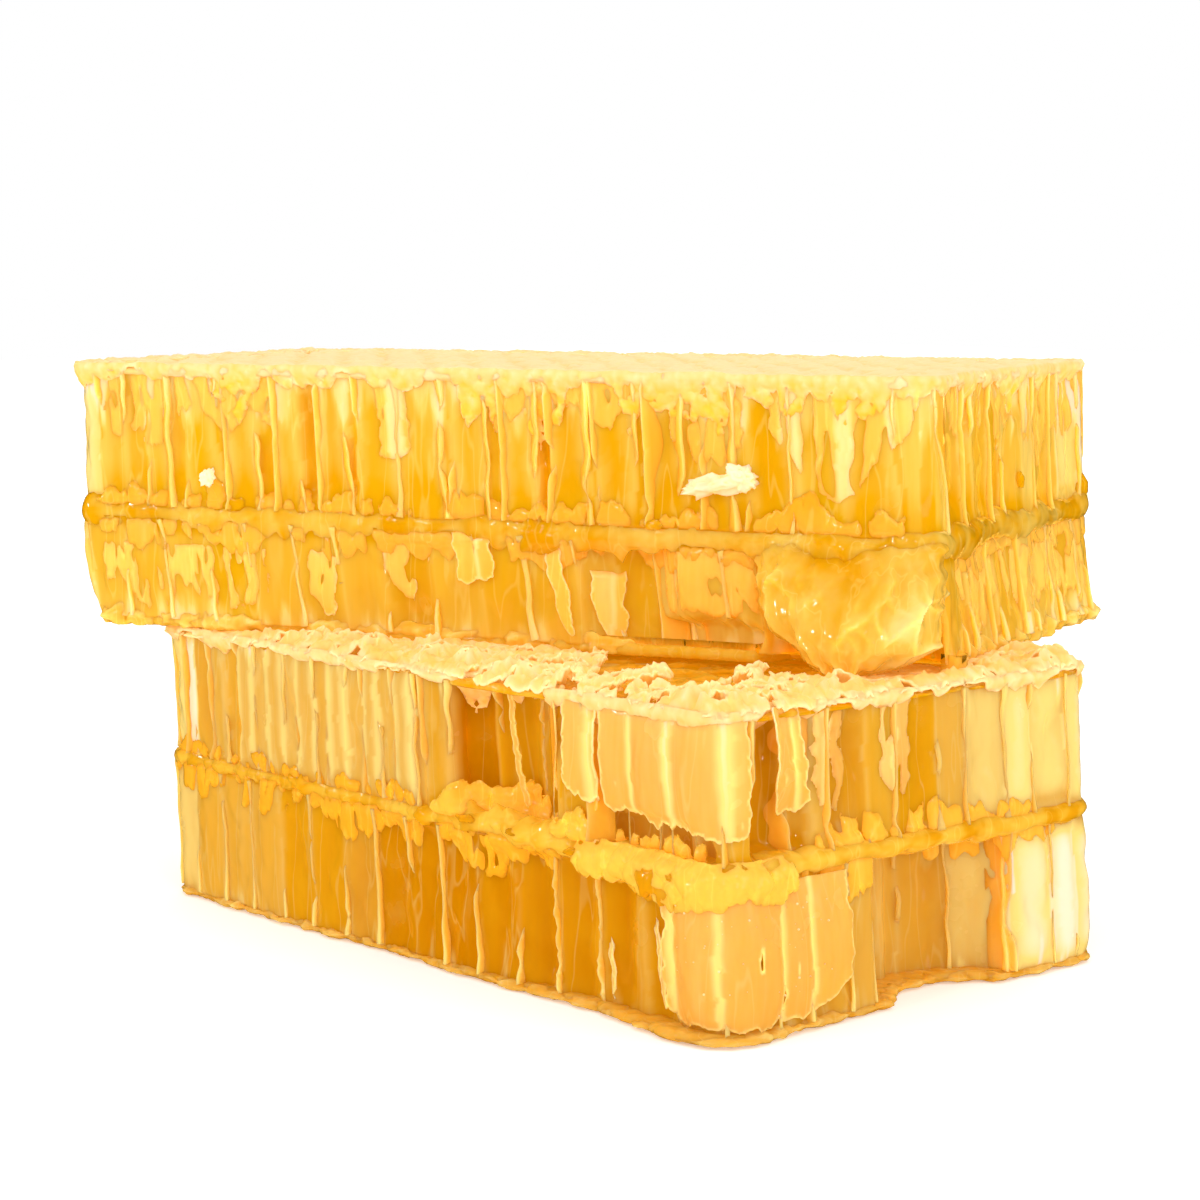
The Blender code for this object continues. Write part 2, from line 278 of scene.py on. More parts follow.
def cellChance(column, row, seed):
    return hashed(np.asarray(column, dtype=np.int64), np.asarray(row, dtype=np.int64), 7, seed)


def openDepth(points, normals, layer, deepest):
    # how far a cut cell stays open inwards from the cut: the way to its far wall
    step = 0.08 * mm
    start = points - normals * 0.12 * mm
    firstColumn, firstRow, _, _, _ = cellAt(start[:, 0], start[:, 1], layer)
    depth = np.full(len(points), deepest)
    done = np.zeros(len(points), bool)
    for k in range(int(deepest / step)):
        probe = start - normals * step * k
        column, row, _, _, _ = cellAt(probe[:, 0], probe[:, 1], layer)
        left = (column != firstColumn) | (row != firstRow)
        depth[left & ~done] = step * k
        done |= left
    return depth, firstColumn, firstRow


def toWorld(slab, x, y, z):
    # slab coordinates to the shared frame
    c = math.cos(slab["yaw"])
    s = math.sin(slab["yaw"])
    centreX, centreY = slab["centre"]
    return np.stack([centreX + c * x - s * y, centreY + s * x + c * y, z + 0.0 * x], axis=-1)


def leanShift(slab, layer, fromMidrib):
    return math.tan(math.radians(slab["lean"][layer])) * fromMidrib


def layerHeights(slab, layer):
    # the layer's root at the midrib and its mouth at the capping
    if layer == "up":
        return slab["zMidribTop"], slab["zTop"]
    return slab["zMidrib"], slab["zBaseTop"]


# ---------- meshes


def gridQuads(rows, columns, wrap):
    # quads of a grid whose rows go up and whose columns go anticlockwise, facing out
    row = np.arange(rows - 1)[:, None]
    column = np.arange(columns if wrap else columns - 1)[None, :]
    after = (column + 1) % columns
    a = row * columns + column
    b = row * columns + after
    c = (row + 1) * columns + after
    d = (row + 1) * columns + column
    return np.stack([a, b, c, d], axis=-1).reshape(-1, 4)


def quadsToTriangles(quads):
    flip = (np.arange(len(quads)) % 2).astype(bool)
    first = np.where(flip[:, None], quads[:, [0, 1, 3]], quads[:, [0, 1, 2]])
    second = np.where(flip[:, None], quads[:, [1, 2, 3]], quads[:, [0, 2, 3]])
    return np.vstack([first, second])


def clipSheet(points, keep, values, triangles):
    # the part of a surface where keep is above zero, with its edge cut clean between the points
    keep = np.where(np.abs(keep) < 1e-7, 1e-7, keep)
    inside = keep > 0
    score = inside[triangles].sum(axis=1)
    kept = [triangles[score == 3]]
    odd = []
    for wanted, lone in ((1, True), (2, False)):
        some = triangles[score == wanted]
        first = np.argmax(inside[some] == lone, axis=1) if len(some) else np.zeros(0, int)
        rolled = np.stack([some[np.arange(len(some)), (first + k) % 3] for k in range(3)], axis=-1)
        odd.append(rolled.reshape(-1, 3))
    one, two = odd
    edges = np.vstack([one[:, [0, 1]], one[:, [0, 2]], two[:, [0, 1]], two[:, [0, 2]]])
    pairs, back = np.unique(np.sort(edges, axis=1), axis=0, return_inverse=True)
    back = np.ravel(back) + len(points)
    i, j = pairs[:, 0], pairs[:, 1]
    share = (keep[i] / (keep[i] - keep[j]))[:, None]
    points = np.vstack([points, points[i] + (points[j] - points[i]) * share])
    values = {
        name: np.concatenate([value, value[i] + (value[j] - value[i]) * share[:, 0]])
        for name, value in values.items()
    }
    values["keep"] = np.concatenate([np.where(inside, keep, 0.0), np.zeros(len(pairs))])
    oneAB, oneAC, twoAB, twoAC = np.split(back, np.cumsum([len(one), len(one), len(two)]))
    kept.append(np.stack([one[:, 0], oneAB, oneAC], axis=-1))
    kept.append(np.stack([twoAB, two[:, 1], two[:, 2]], axis=-1))
    kept.append(np.stack([twoAB, two[:, 2], twoAC], axis=-1))
    faces = np.vstack(kept)
    used, faces = np.unique(faces, return_inverse=True)
    faces = np.reshape(faces, (-1, 3))
    return points[used], {name: value[used] for name, value in values.items()}, faces


def pointNormals(points, faces):
    a, b, c = (points[faces[:, k]] for k in range(3))
    flat = np.cross(b - a, c - a)
    normals = np.zeros_like(points)
    for k in range(3):
        np.add.at(normals, faces[:, k], flat)
    return normals / np.maximum(np.linalg.norm(normals, axis=1), 1e-20)[:, None]


def thicken(points, faces, thickness, values, lift=0.5):
    # a closed sheet round a surface; lift is the share of its thickness that lies in front
    normals = pointNormals(points, faces)
    thickness = np.broadcast_to(thickness, len(points))[:, None]
    front = points + normals * thickness * lift
    back = points - normals * thickness * (1 - lift)
    edges = np.vstack([faces[:, [0, 1]], faces[:, [1, 2]], faces[:, [2, 0]]])
    order = edges[:, 0] * (len(points) + 1) + edges[:, 1]
    reverse = edges[:, 1] * (len(points) + 1) + edges[:, 0]
    rim = edges[~np.isin(order, reverse)]
    count = len(points)
    i, j = rim[:, 0], rim[:, 1]
    sides = np.vstack([np.stack([j, i, i + count], -1), np.stack([j, i + count, j + count], -1)])
    allFaces = np.vstack([faces, faces[:, ::-1] + count, sides])
    values = {name: np.concatenate([value, value]) for name, value in values.items()}
    return np.vstack([front, back]), allFaces, values


class Pile:
    # gathers the meshes of one object, with the values that its finish reads
    def __init__(self, *names):
        self.names = names
        self.points = []
        self.faces = []
        self.values = {name: [] for name in names}
        self.count = 0

    def add(self, points, faces, **values):
        if len(points) == 0:
            return
        self.points.append(points)
        self.faces.extend((np.asarray(faces) + self.count).tolist())
        for name in self.names:
            self.values[name].append(np.broadcast_to(values.get(name, 0.0), len(points)))
        self.count += len(points)

    def addLoose(self, faces):
        self.faces.extend(faces)

    def build(self, name, material, replaced=(), slot=None):
        mesh = bpy.data.meshes.new(name)
        mesh.from_pydata(np.vstack(self.points).tolist(), [], self.faces)
        for key in self.names:
            layer = mesh.attributes.new(key, "FLOAT", "POINT")
            layer.data.foreach_set("value", np.concatenate(self.values[key]).astype(np.float32))
        mesh.polygons.foreach_set("use_smooth", [len(face) < 5 for face in self.faces])
        mesh.materials.append(material)
        mesh.update()
        piece = bpy.data.objects.new(name, mesh)
        bpy.context.scene.collection.objects.link(piece)
        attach(piece, "root")
        if replaced:
            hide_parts(*replaced)
        triangles = sum(len(face) - 2 for face in self.faces)
        print(f"{name}: {triangles} triangles")
        return piece


# ---------- finishes


class Value:
    # a socket that can stand in a sum
    def __init__(self, tree, socket):
        self.tree = tree
        self.socket = socket

    def maths(self, operation, first, second=None, clamp=False):
        node = self.tree.nodes.new("ShaderNodeMath")
        node.operation = operation
        node.use_clamp = clamp
        for place, item in enumerate((first, second)):
            if isinstance(item, Value):
                self.tree.links.new(item.socket, node.inputs[place])
            elif item is not None:
                node.inputs[place].default_value = item
        return Value(self.tree, node.outputs[0])

    def __add__(self, other):
        return self.maths("ADD", self, other)

    __radd__ = __add__

    def __sub__(self, other):
        return self.maths("SUBTRACT", self, other)

    def __rsub__(self, other):
        return self.maths("SUBTRACT", other, self)

    def __mul__(self, other):
        return self.maths("MULTIPLY", self, other)

    __rmul__ = __mul__

    def __truediv__(self, other):
        return self.maths("DIVIDE", self, other)

    def __rtruediv__(self, other):
        return self.maths("DIVIDE", other, self)

    def __pow__(self, other):
        return self.maths("POWER", self, other)

    def size(self):
        return self.maths("ABSOLUTE", self)

    def clamped(self):
        return self.maths("ADD", self, 0.0, clamp=True)


class Finish:
    # a material that is built node by node
    def __init__(self, name):
        self.material = bpy.data.materials.new(name)
        self.material.use_nodes = True
        self.tree = self.material.node_tree
        self.tree.nodes.clear()

    def node(self, kind, settings=None, sockets=None, output=0):
        made = self.tree.nodes.new(kind)
        for key, value in (settings or {}).items():
            if key == "stops":
                self.setStops(made.color_ramp, value)
            else:
                setattr(made, key, value)
        for key, value in (sockets or {}).items():
            place = made.inputs[key]
            if isinstance(value, Value):
                self.tree.links.new(value.socket, place)
            else:
                place.default_value = value
        return Value(self.tree, made.outputs[output]) if len(made.outputs) else made

    def setStops(self, ramp, stops):
        while len(ramp.elements) < len(stops):
            ramp.elements.new(1.0)
        for element, (position, colour) in zip(ramp.elements, stops):
            element.position = position
            element.color = colour

    def place(self):
        return self.node("ShaderNodeTexCoord", output="Object")

    def stretched(self, x, y, z):
        return self.node("ShaderNodeMapping", {}, {"Vector": self.place(), "Scale": (x, y, z)})

    def reading(self, name):
        return self.node("ShaderNodeAttribute", {"attribute_name": name}, output="Fac")

    def clouds(self, scale, detail=3.0, vector=None, rough=0.55):
        sockets = {"Vector": vector or self.place(), "Scale": scale, "Detail": detail, "Roughness": rough}
        return self.node("ShaderNodeTexNoise", {}, sockets, output="Fac")

    def ranged(self, value, low, high, newLow=0.0, newHigh=1.0):
        sockets = {"Value": value, "From Min": low, "From Max": high, "To Min": newLow, "To Max": newHigh}
        return self.node("ShaderNodeMapRange", {"interpolation_type": "SMOOTHSTEP"}, sockets)

    def mixed(self, share, first, second, blend="MIX"):
        settings = {"data_type": "RGBA", "blend_type": blend}
        made = self.tree.nodes.new("ShaderNodeMix")
        for key, value in settings.items():
            setattr(made, key, value)
        for place, value in ((0, share), (6, first), (7, second)):
            if isinstance(value, Value):
                self.tree.links.new(value.socket, made.inputs[place])
            else:
                made.inputs[place].default_value = value
        return Value(self.tree, made.outputs[2])

    def bump(self, height, strength, distance):
        sockets = {"Height": height, "Strength": strength, "Distance": distance}
        return self.node("ShaderNodeBump", {}, sockets)

    def finished(self, sockets):
        shader = self.node("ShaderNodeBsdfPrincipled", {"subsurface_method": "BURLEY"}, sockets)
        self.node("ShaderNodeOutputMaterial", {}, {"Surface": shader})
        return self.material


def tone(red, green, blue):
    # an sRGB colour from 0 to 255 as linear light
    linear = []
    for part in (red, green, blue):
        part = part / 255
        linear.append(part / 12.92 if part <= 0.04045 else ((part + 0.055) / 1.055) ** 2.4)
    return (*linear, 1.0)


# What a cook would change about the look of honey and wax. The emission tone and strength paint light shining out of
# the honey and wax, as if lit from behind.
looks = {
    "upper": {
        "shallow": tone(230, 166, 10),
        "deep": tone(222, 142, 0),
        "pale": tone(246, 208, 104),
        "ribAndLight": tone(250, 226, 150),
        "through": (1.0, 0.50, 0.0, 1.0),
        "paintedGlow": 0.13,
    },
    # The lower slab's tones are darker than the upper's: partly deeper honey, partly painted shade, as less light
    # falls on it.
    "lower": {
        "shallow": tone(220, 153, 20),
        "deep": tone(196, 116, 0),
        "pale": tone(222, 180, 98),
        "ribAndLight": tone(244, 216, 126),
        "through": (1.0, 0.46, 0.0, 1.0),
        "paintedGlow": 0.115,
    },
    "torn": {
        "shallow": tone(230, 164, 24),
        "deep": tone(214, 136, 8),
        "pale": tone(246, 204, 88),
        "ribAndLight": tone(252, 224, 136),
        "through": (1.0, 0.47, 0.0, 1.0),
        "paintedGlow": 0.16,
    },
    "white": tone(252, 236, 206),
    "wax": {
        "crust": tone(252, 220, 162),
        # The second wax tone is the yellow of honey-soaked cappings, and painted shade in the creases of the top
        # crust.
        "crustYellowAndShade": tone(248, 196, 96),
        "through": (1.0, 0.62, 0.12, 1.0),
    },
}


def honeyFinish(name, look, coat=0.0):
    # honey behind thin wax: deeper colour where the cells lie open, partly painted shade in their recess, hazy where
    # wax covers it; its emission is painted light shining out of the honey
    finish = Finish(name)
    deep = finish.reading("deep")
    pale = finish.reading("pale")
    chance = finish.reading("chance")
    streaks = finish.clouds(220, 4, finish.stretched(1, 1, 0.2))
    fibres = finish.clouds(1300, 2, finish.stretched(1, 1, 0.07))
    cloudy = finish.clouds(160, 3)
    folds = finish.clouds(300, 2, finish.stretched(1, 1, 0.13))
    veins = 1 - finish.ranged((folds - 0.5).size(), 0.0, 0.018)
    fine = (fibres - 0.5) * 0.35
    hue = (deep * 1.1 + (streaks - 0.5) * 0.6 + fine + (chance - 0.5) * 0.5).clamped()
    colour = finish.mixed(hue, look["shallow"], look["deep"])
    wisps = finish.ranged(streaks, 0.60, 0.74) * 0.22 + finish.ranged(cloudy, 0.60, 0.78) * 0.12
    haze = (pale * (0.6 + fibres * 0.5) + wisps + fine * 0.25 + veins * 0.30).clamped()
    colour = finish.mixed(haze, colour, look["pale"])
    # Past 0.9 pale takes the paler wax tone, past 1.5 near-white: real wax, painted highlights and painted backlight
    # all reach these.
    colour = finish.mixed(((pale - 0.9) * 2).clamped(), colour, look["ribAndLight"])
    colour = finish.mixed(((pale - 1.5) * 2).clamped(), colour, looks["white"])
    ripple = finish.clouds(600, 2, finish.stretched(1, 1, 0.4))
    return finish.finished({
        "Base Color": colour,
        "Roughness": finish.ranged(cloudy, 0.45, 0.7, 0.10, 0.28),
        "IOR": 1.49,
        "Specular IOR Level": 0.5,
        "Subsurface Weight": 1.0,
        "Subsurface Radius": (1.0, 0.60, 0.20),
        "Subsurface Scale": 0.0020,
        "Emission Color": look["through"],
        "Emission Strength": look["paintedGlow"],
        "Coat Weight": coat,
        "Coat Roughness": 0.03,
        "Normal": finish.bump(ripple, 0.2, 0.00015),
    })


def waxFinish(name, thin, edge, rough, coat=0.0, paintedGlow=0.10, light=1.0):
    # wax with honey on it: yellow where it is thick and wet, pale where it is thin, dry or catches the light, the last
    # a painted highlight; its emission is painted light shining out of the wax
    finish = Finish(name)
    near = finish.reading("edge")
    pale = finish.reading("pale")
    grain = finish.clouds(900, 3)
    cloudy = finish.clouds(240, 3)
    share = (near + pale + (cloudy - 0.5) * 0.5).clamped()
    colour = finish.mixed(share, thin, edge)
    return finish.finished({
        "Base Color": colour,
        "Roughness": rough,
        "IOR": 1.44,
        "Subsurface Weight": light,
        "Subsurface Radius": (1.0, 0.85, 0.6),
        "Subsurface Scale": 0.0008,
        "Specular IOR Level": 0.35,
        "Coat Weight": coat,
        "Coat Roughness": 0.04,
        "Emission Color": looks["wax"]["through"],
        "Emission Strength": paintedGlow,
        "Normal": finish.bump(grain, 0.3, 0.00012),
    })


finishes = {
    "upperHoney": honeyFinish("light_honey", looks["upper"], 0.25),
    "lowerHoney": honeyFinish("amber_honey", looks["lower"], 0.25),
    "upperPool": honeyFinish("light_pool", looks["upper"], 0.8),
    "lowerPool": honeyFinish("amber_pool", looks["lower"], 0.8),
    "upperWax": honeyFinish("light_wax_walls", looks["upper"], 0.4),
    "lowerWax": honeyFinish("amber_wax_walls", looks["lower"], 0.4),
    "upperSkirt": waxFinish("light_drawn_wax", tone(250, 192, 48), looks["wax"]["crust"], 0.32),
    "lowerSkirt": waxFinish("amber_drawn_wax", tone(240, 182, 64), looks["wax"]["crust"], 0.32),
    "crust": waxFinish("pale_cappings", looks["wax"]["crustYellowAndShade"], looks["wax"]["crust"], 0.45),
    "torn": honeyFinish("torn_midrib", looks["torn"], 0.8),
    "flake": waxFinish("pale_flake", tone(248, 212, 138), tone(252, 234, 196), 0.5, paintedGlow=0.05),
}
print("finishes made")


# ---------- the layers of cells

# How a layer's cut cells look: deepest is how far an emptied cell is seen into, fill how much of it is
# still honey, pool how high honey stands at the midrib. Zones give a stretch of the cut its own state,
# by the slab's x and y in mm.
# A zone's pale near 2 turns a slab's end near-white: painted backlight shining out of the thin ends.
layerLooks = {
    ("upper", "up"): {
        "deepest": 2.9 * mm, "rim": 0.12 * mm, "fill": 0.88, "spread": 0.13, "pool": 3.4 * mm,
        "rows": 48, "haze": 0.08, "fade": 4.2,
        "zones": [
            {"x": (-50, -43), "y": (-30, -17), "fill": 0.85, "pale": 2.1},
            {"x": (-20, -15), "y": (-30, -15), "fill": 0.60, "pale": -0.1},
            {"x": (6, 12), "y": (-30, -15), "fill": 0.45, "pale": -0.2},
            {"x": (19, 22.5), "y": (-30, -15), "fill": 0.40, "pale": -0.3},
            {"x": (31, 36), "y": (-30, -15), "fill": 0.60, "pale": -0.2},
            {"x": (44, 50), "y": (-20, 0), "fill": 0.80, "pale": 0.20},
            {"x": (44, 50), "y": (0, 14), "fill": 0.85, "pale": 0.6},
            {"x": (46.8, 50), "y": (14, 30), "fill": 0.85, "pale": 1.9},
        ],
    },
    ("upper", "down"): {
        "deepest": 2.6 * mm, "rim": 0.12 * mm, "fill": 0.88, "spread": 0.13, "pool": 1.2 * mm,
        "rows": 43, "haze": 0.22, "fade": 0.6,
        "zones": [
            {"x": (-50, -40), "y": (-30, -15), "fill": 0.8, "pale": 0.35},
            {"x": (-50, -46.5), "y": (-30, -8), "fill": 1.0, "bulge": 0.9, "pale": 0.6},
            {"x": (-9, -4), "y": (-30, -15), "fill": 0.50, "pale": -0.2},
            {"x": (8.5, 13), "y": (-30, -15), "fill": 0.50, "pale": -0.1},
            {"x": (17, 30.5), "y": (-30, -15), "fill": 0.9, "pale": 0.25, "mouthCut": 2.6},
            {"x": (44, 50), "y": (-20, 30), "fill": 0.80, "pale": 0.30},
        ],
    },
    ("lower", "up"): {
        "deepest": 3.2 * mm, "rim": 0.12 * mm, "fill": 0.80, "spread": 0.18, "pool": 1.4 * mm,
        "rows": 51, "haze": 0.05, "fade": -0.5,
        "zones": [
            {"x": (-50, -36), "y": (-30, -18), "fill": 0.85, "pale": 2.6},
            {"x": (-36, -27), "y": (-30, -15), "fill": 0.85, "bulge": 0.15, "pale": 0.5},
            {"x": (-27, 5), "y": (-30, -15), "fill": 0.93, "bulge": 0.35, "pale": 0.9},
            {"x": (6, 24), "y": (-30, -15), "fill": 0.05, "pale": -0.4},
            {"x": (25.5, 41.5), "y": (-30, -18), "fill": 0.72, "pale": 0.5, "rootCut": 3.2},
            {"x": (40, 50), "y": (-21, -17), "fill": 0.0, "pale": -0.3},
            {"x": (38, 50), "y": (-17, -7), "fill": 0.65, "pale": 0.15},
            {"x": (38, 50), "y": (2, 9), "fill": 0.75, "pale": 0.45},
            {"x": (42.3, 50), "y": (9, 30), "fill": 0.85, "bulge": 0.2, "pale": 2.0},
        ],
    },
    ("lower", "down"): {
        "deepest": 3.0 * mm, "rim": 0.12 * mm, "fill": 0.82, "spread": 0.16, "pool": 1.0 * mm,
        "rows": 51, "haze": 0.05, "fade": -0.5,
        "zones": [
            {"x": (-50, -37), "y": (-30, -18), "fill": 0.85, "pale": 1.9},
            {"x": (-37, -22), "y": (-30, -15), "fill": 0.90, "bulge": 0.25, "pale": 0.7},
            {"x": (-13, -4), "y": (-30, -15), "fill": 0.80, "pale": 0.1, "deep": 0.3},
            {"x": (-4, 14), "y": (-30, -15), "fill": 0.70, "pale": -0.4, "deep": 0.6},
            {"x": (14, 35), "y": (-30, -15), "fill": 0.12, "pale": -0.4, "deep": 0.2},
            {"x": (35.5, 50), "y": (-30, -9), "fill": 0.80, "pale": 0.15},
            {"x": (30, 50), "y": (-9, 12.5), "fill": 0.85, "pale": 0.35},
            {"x": (42.3, 50), "y": (12.9, 30), "fill": 0.9, "bulge": 0.4, "pale": 2.8},
            {"x": (34, 50), "y": (10.0, 12.9), "fill": 0.95, "pale": 1.5},
            {"x": (34, 42.3), "y": (12.9, 16), "fill": 0.95, "pale": 1.5},
        ],
    },
}


def inZone(x, y, zone):
    lowX, highX = zone["x"]
    lowY, highY = zone["y"]
    return (x > lowX * mm) & (x < highX * mm) & (y > lowY * mm) & (y < highY * mm)


def cutFace(slab, layer):
    # the cut edge of a layer with the state of the cell at each point
    look = layerLooks[slab["name"], layer]
    points, normals = cutLoop(slab, layer)
    reach, column, row = openDepth(points, normals, layer, look["deepest"])
    chance = cellChance(column, row, slab["seed"])
    other = cellChance(column, row, slab["seed"] + 40)
    fill = np.clip(look["fill"] + look["spread"] * (chance * 2 - 1), 0.0, 1.0)
    bulge = np.zeros(len(points))
    rootCut = np.zeros(len(points))
    mouthCut = np.zeros(len(points))
    deeper = np.zeros(len(points))
    pale = (other - 0.5) * 0.5 + look["haze"]
    changed = (column != np.roll(column, 1)) | (row != np.roll(row, 1))
    firsts = np.flatnonzero(changed)
    across = np.zeros(len(points))
    span = np.zeros(len(points))
    middles = np.array(points)
    for k, first in enumerate(firsts):
        last = firsts[(k + 1) % len(firsts)]
        width = (last - first) % len(points)
        spots = (first + np.arange(width)) % len(points)
        across[spots] = (np.arange(width) + 0.5) / width
        span[spots] = width * comb["step"]
        middles[spots] = points[spots[width // 2]]
    for zone in look["zones"]:
        where = inZone(middles[:, 0], middles[:, 1], zone)
        fill = np.where(where, zone["fill"] + 0.15 * (chance - 0.5), fill)
        bulge = np.where(where, zone.get("bulge", 0.0), bulge)
        share = (points[:, 0] / mm - zone["x"][0]) / (zone["x"][1] - zone["x"][0])
        vault = np.clip(1 - (2 * share - 1) ** 4, 0, 1) ** 0.5
        rootCut = np.where(where, zone.get("rootCut", 0.0) * vault, rootCut)
        mouthCut = np.where(where, zone.get("mouthCut", 0.0) * vault, mouthCut)
        pale = np.where(where, pale + zone["pale"], pale)
        deeper = np.where(where, zone.get("deep", 0.0), deeper)
    inner = points - normals * 0.4 * mm
    return {
        "across": across, "span": span, "wallGap": cellAt(inner[:, 0], inner[:, 1], layer)[4],
        "points": points, "normals": normals, "reach": reach, "column": column, "row": row,
        "chance": chance, "other": other, "deeper": deeper, "fill": np.clip(fill, 0, 1), "bulge": bulge, "pale": pale,
        "rootCut": rootCut * mm, "mouthCut": mouthCut * mm,
    }


def honeySurface(slab, layer, face):
    # the recess of the honey behind the cut, as a grid of heights by places along the cut
    look = layerLooks[slab["name"], layer]
    root, mouth = layerHeights(slab, layer)
    height = np.linspace(0.0, 1.0, look["rows"])
    tall = abs(mouth - root)
    up = (height * tall)[:, None]
    along = np.arange(len(face["points"])) * comb["step"]
    ripple = layeredNoise(along[None, :] / (3.0 * mm), up / (5.0 * mm), slab["seed"] * 3.7, 5, 3)
    poolTop = look["pool"] * (0.35 + 1.3 * face["other"])[None, :]
    pool = 1 - smoothStep(0.2, 1.15, up / np.maximum(poolTop, 0.3 * mm))
    pool = np.where(face["rootCut"][None, :] > 0, 0.0, pool)
    crown = smoothStep(0.80, 1.0, up / tall) * 0.35
    sway = 0.45 * mm * layeredNoise(along[None, :] / (4.0 * mm), up / (4.5 * mm), slab["seed"] * 2.3, 31, 2)
    spots = (np.arange(len(along))[None, :] + np.rint(sway / comb["step"]).astype(int)) % len(along)
    fill = np.clip(face["fill"][spots] + 0.22 * ripple, 0.0, 1.0)
    fill = np.maximum(fill, np.maximum(0.94 * pool, fill + crown * (1 - fill)))
    wobble = 0.5 * mm * layeredNoise(along / (1.5 * mm), 2.2, 0.0, 15, 2)[None, :]
    cut = 1 - smoothStep(-0.4 * mm, 0.4 * mm, up - (face["rootCut"][None, :] + wobble))
    cut = np.maximum(cut, 1 - smoothStep(-0.4 * mm, 0.4 * mm, tall - up - face["mouthCut"][None, :] - wobble))
    cut = np.where((face["rootCut"] + face["mouthCut"])[None, :] > 0, cut, 0.0)
    fill = fill * (1 - cut)
    reach = np.maximum(face["reach"][spots], cut * 2.4 * mm)
    depth = look["rim"] + reach * (1 - fill) * 0.92
    arch = np.sqrt(np.clip(1 - (2 * face["across"] - 1) ** 2, 0, 1)) * np.minimum(face["span"] / cellWidth, 1)
    swell = face["bulge"] * arch[spots] * (1 - cut) * 1.5 * mm
    roundEnds = np.sqrt(np.clip(1 - (2 * up / tall - 1) ** 4, 0, 1))
    depth = depth - swell * roundEnds
    depth = smoothAlong(smoothAlong(depth, 0.95, 1, True), 1.1, 0, False)
    depth = depth + 0.05 * mm * layeredNoise(along[None, :] / (1.1 * mm), up / (1.8 * mm), 3.3, 9, 2)
    return height, up, depth, pool * (1 - cut), spots


def layerShift(slab, layer, up):
    return leanShift(slab, layer, up)


def addHoney(slab, layer, material, replaced):
    face = cutFace(slab, layer)
    height, up, depth, pool, spots = honeySurface(slab, layer, face)
    root, mouth = layerHeights(slab, layer)
    look = layerLooks[slab["name"], layer]
    tall = abs(mouth - root)
    sign = 1 if layer == "up" else -1
    x = face["points"][None, :, 0] - face["normals"][None, :, 0] * depth + layerShift(slab, layer, up)
    y = face["points"][None, :, 1] - face["normals"][None, :, 1] * depth
    z = root + sign * (up * (1 + 0.9 * mm / tall) - 0.45 * mm) + 0.0 * depth
    # Deeper colour where the honey lies further back in an open cell is painted shade in the recess; pooled honey at
    # the midrib is deeper for real.
    deep = np.clip(depth / (2.6 * mm) + 0.25 * pool + face["deeper"][None, :], 0, 1)
    # Paler where a wall stands close behind the cut: painted light bent by the wall.
    nearWallLight = 1 - smoothStep(0.15 * mm, 1.5 * mm, face["reach"])[spots]
    mouthHaze = smoothStep(0.55, 1.0, height)[:, None] * look["haze"]
    along = np.arange(len(face["points"]))[None, :] * comb["step"]
    runs = layeredNoise(along / (1.6 * mm), up / (11 * mm), slab["seed"] * 1.7, 27, 3)
    drawn = smoothStep(-0.25, 0.55, 1.1 * runs + 0.25 * look["fade"] - (tall - up) / (3.6 * mm))
    # Paler along the creases between cells, most on bulging columns: the wax wall there, brightened with a painted
    # highlight.
    creaseLight = (np.exp(-face["wallGap"] / (0.30 * mm)) * (1 + 1.6 * face["bulge"]))[spots]
    pale = face["pale"][None, :] * (0.6 + 0.8 * mouthHaze) + 0.35 * nearWallLight - 0.5 * pool + mouthHaze * 0.4
    arch = np.sqrt(np.clip(1 - (2 * face["across"] - 1) ** 2, 0, 1))[spots]
    ends = np.clip(1 - (2 * height[:, None] - 1) ** 6, 0, 1)
    # Where pale passes 0.9 it is brightest across the middle of each column and fainter at its ends and sides, which
    # shapes the painted backlight of the pale end zones.
    pale = np.where(pale > 0.9, 0.5 + (pale - 0.5) * (0.3 + 0.7 * arch * ends), pale)
    pale = pale + 0.75 * drawn + 0.35 * creaseLight
    chance = np.broadcast_to(face["chance"][None, :], depth.shape)
    world = toWorld(slab, x, y, z)
    if sign < 0:
        world, deep, pale, chance = world[::-1], deep[::-1], pale[::-1], chance[::-1]
    rows, columns = depth.shape
    pile = Pile("deep", "pale", "chance")
    quads = gridQuads(rows, columns, True)
    pile.add(world.reshape(-1, 3), quads, deep=deep.ravel(), pale=np.clip(pale, 0, 2).ravel(),
             chance=chance.ravel())
    last = (rows - 1) * columns
    pile.addLoose([list(range(columns))[::-1], list(range(last, last + columns))])
    slot = "light_honey" if slab is upper else "amber_honey"
    pile.build(f"{slab['name']}_{layer}_honey", material, replaced, slot)
    return face, depth


# The torn walls between the cut cells: how thick, how far their tips wander, how many are torn back.
wallLooks = {
    "upper": {"thick": 0.30 * mm, "tip": 0.0 * mm, "torn": 0.7, "wobble": 0.26 * mm, "curl": 0.40 * mm},
    "lower": {"thick": 0.21 * mm, "tip": 0.04 * mm, "torn": 0.6, "wobble": 0.20 * mm, "curl": 0.35 * mm},
}


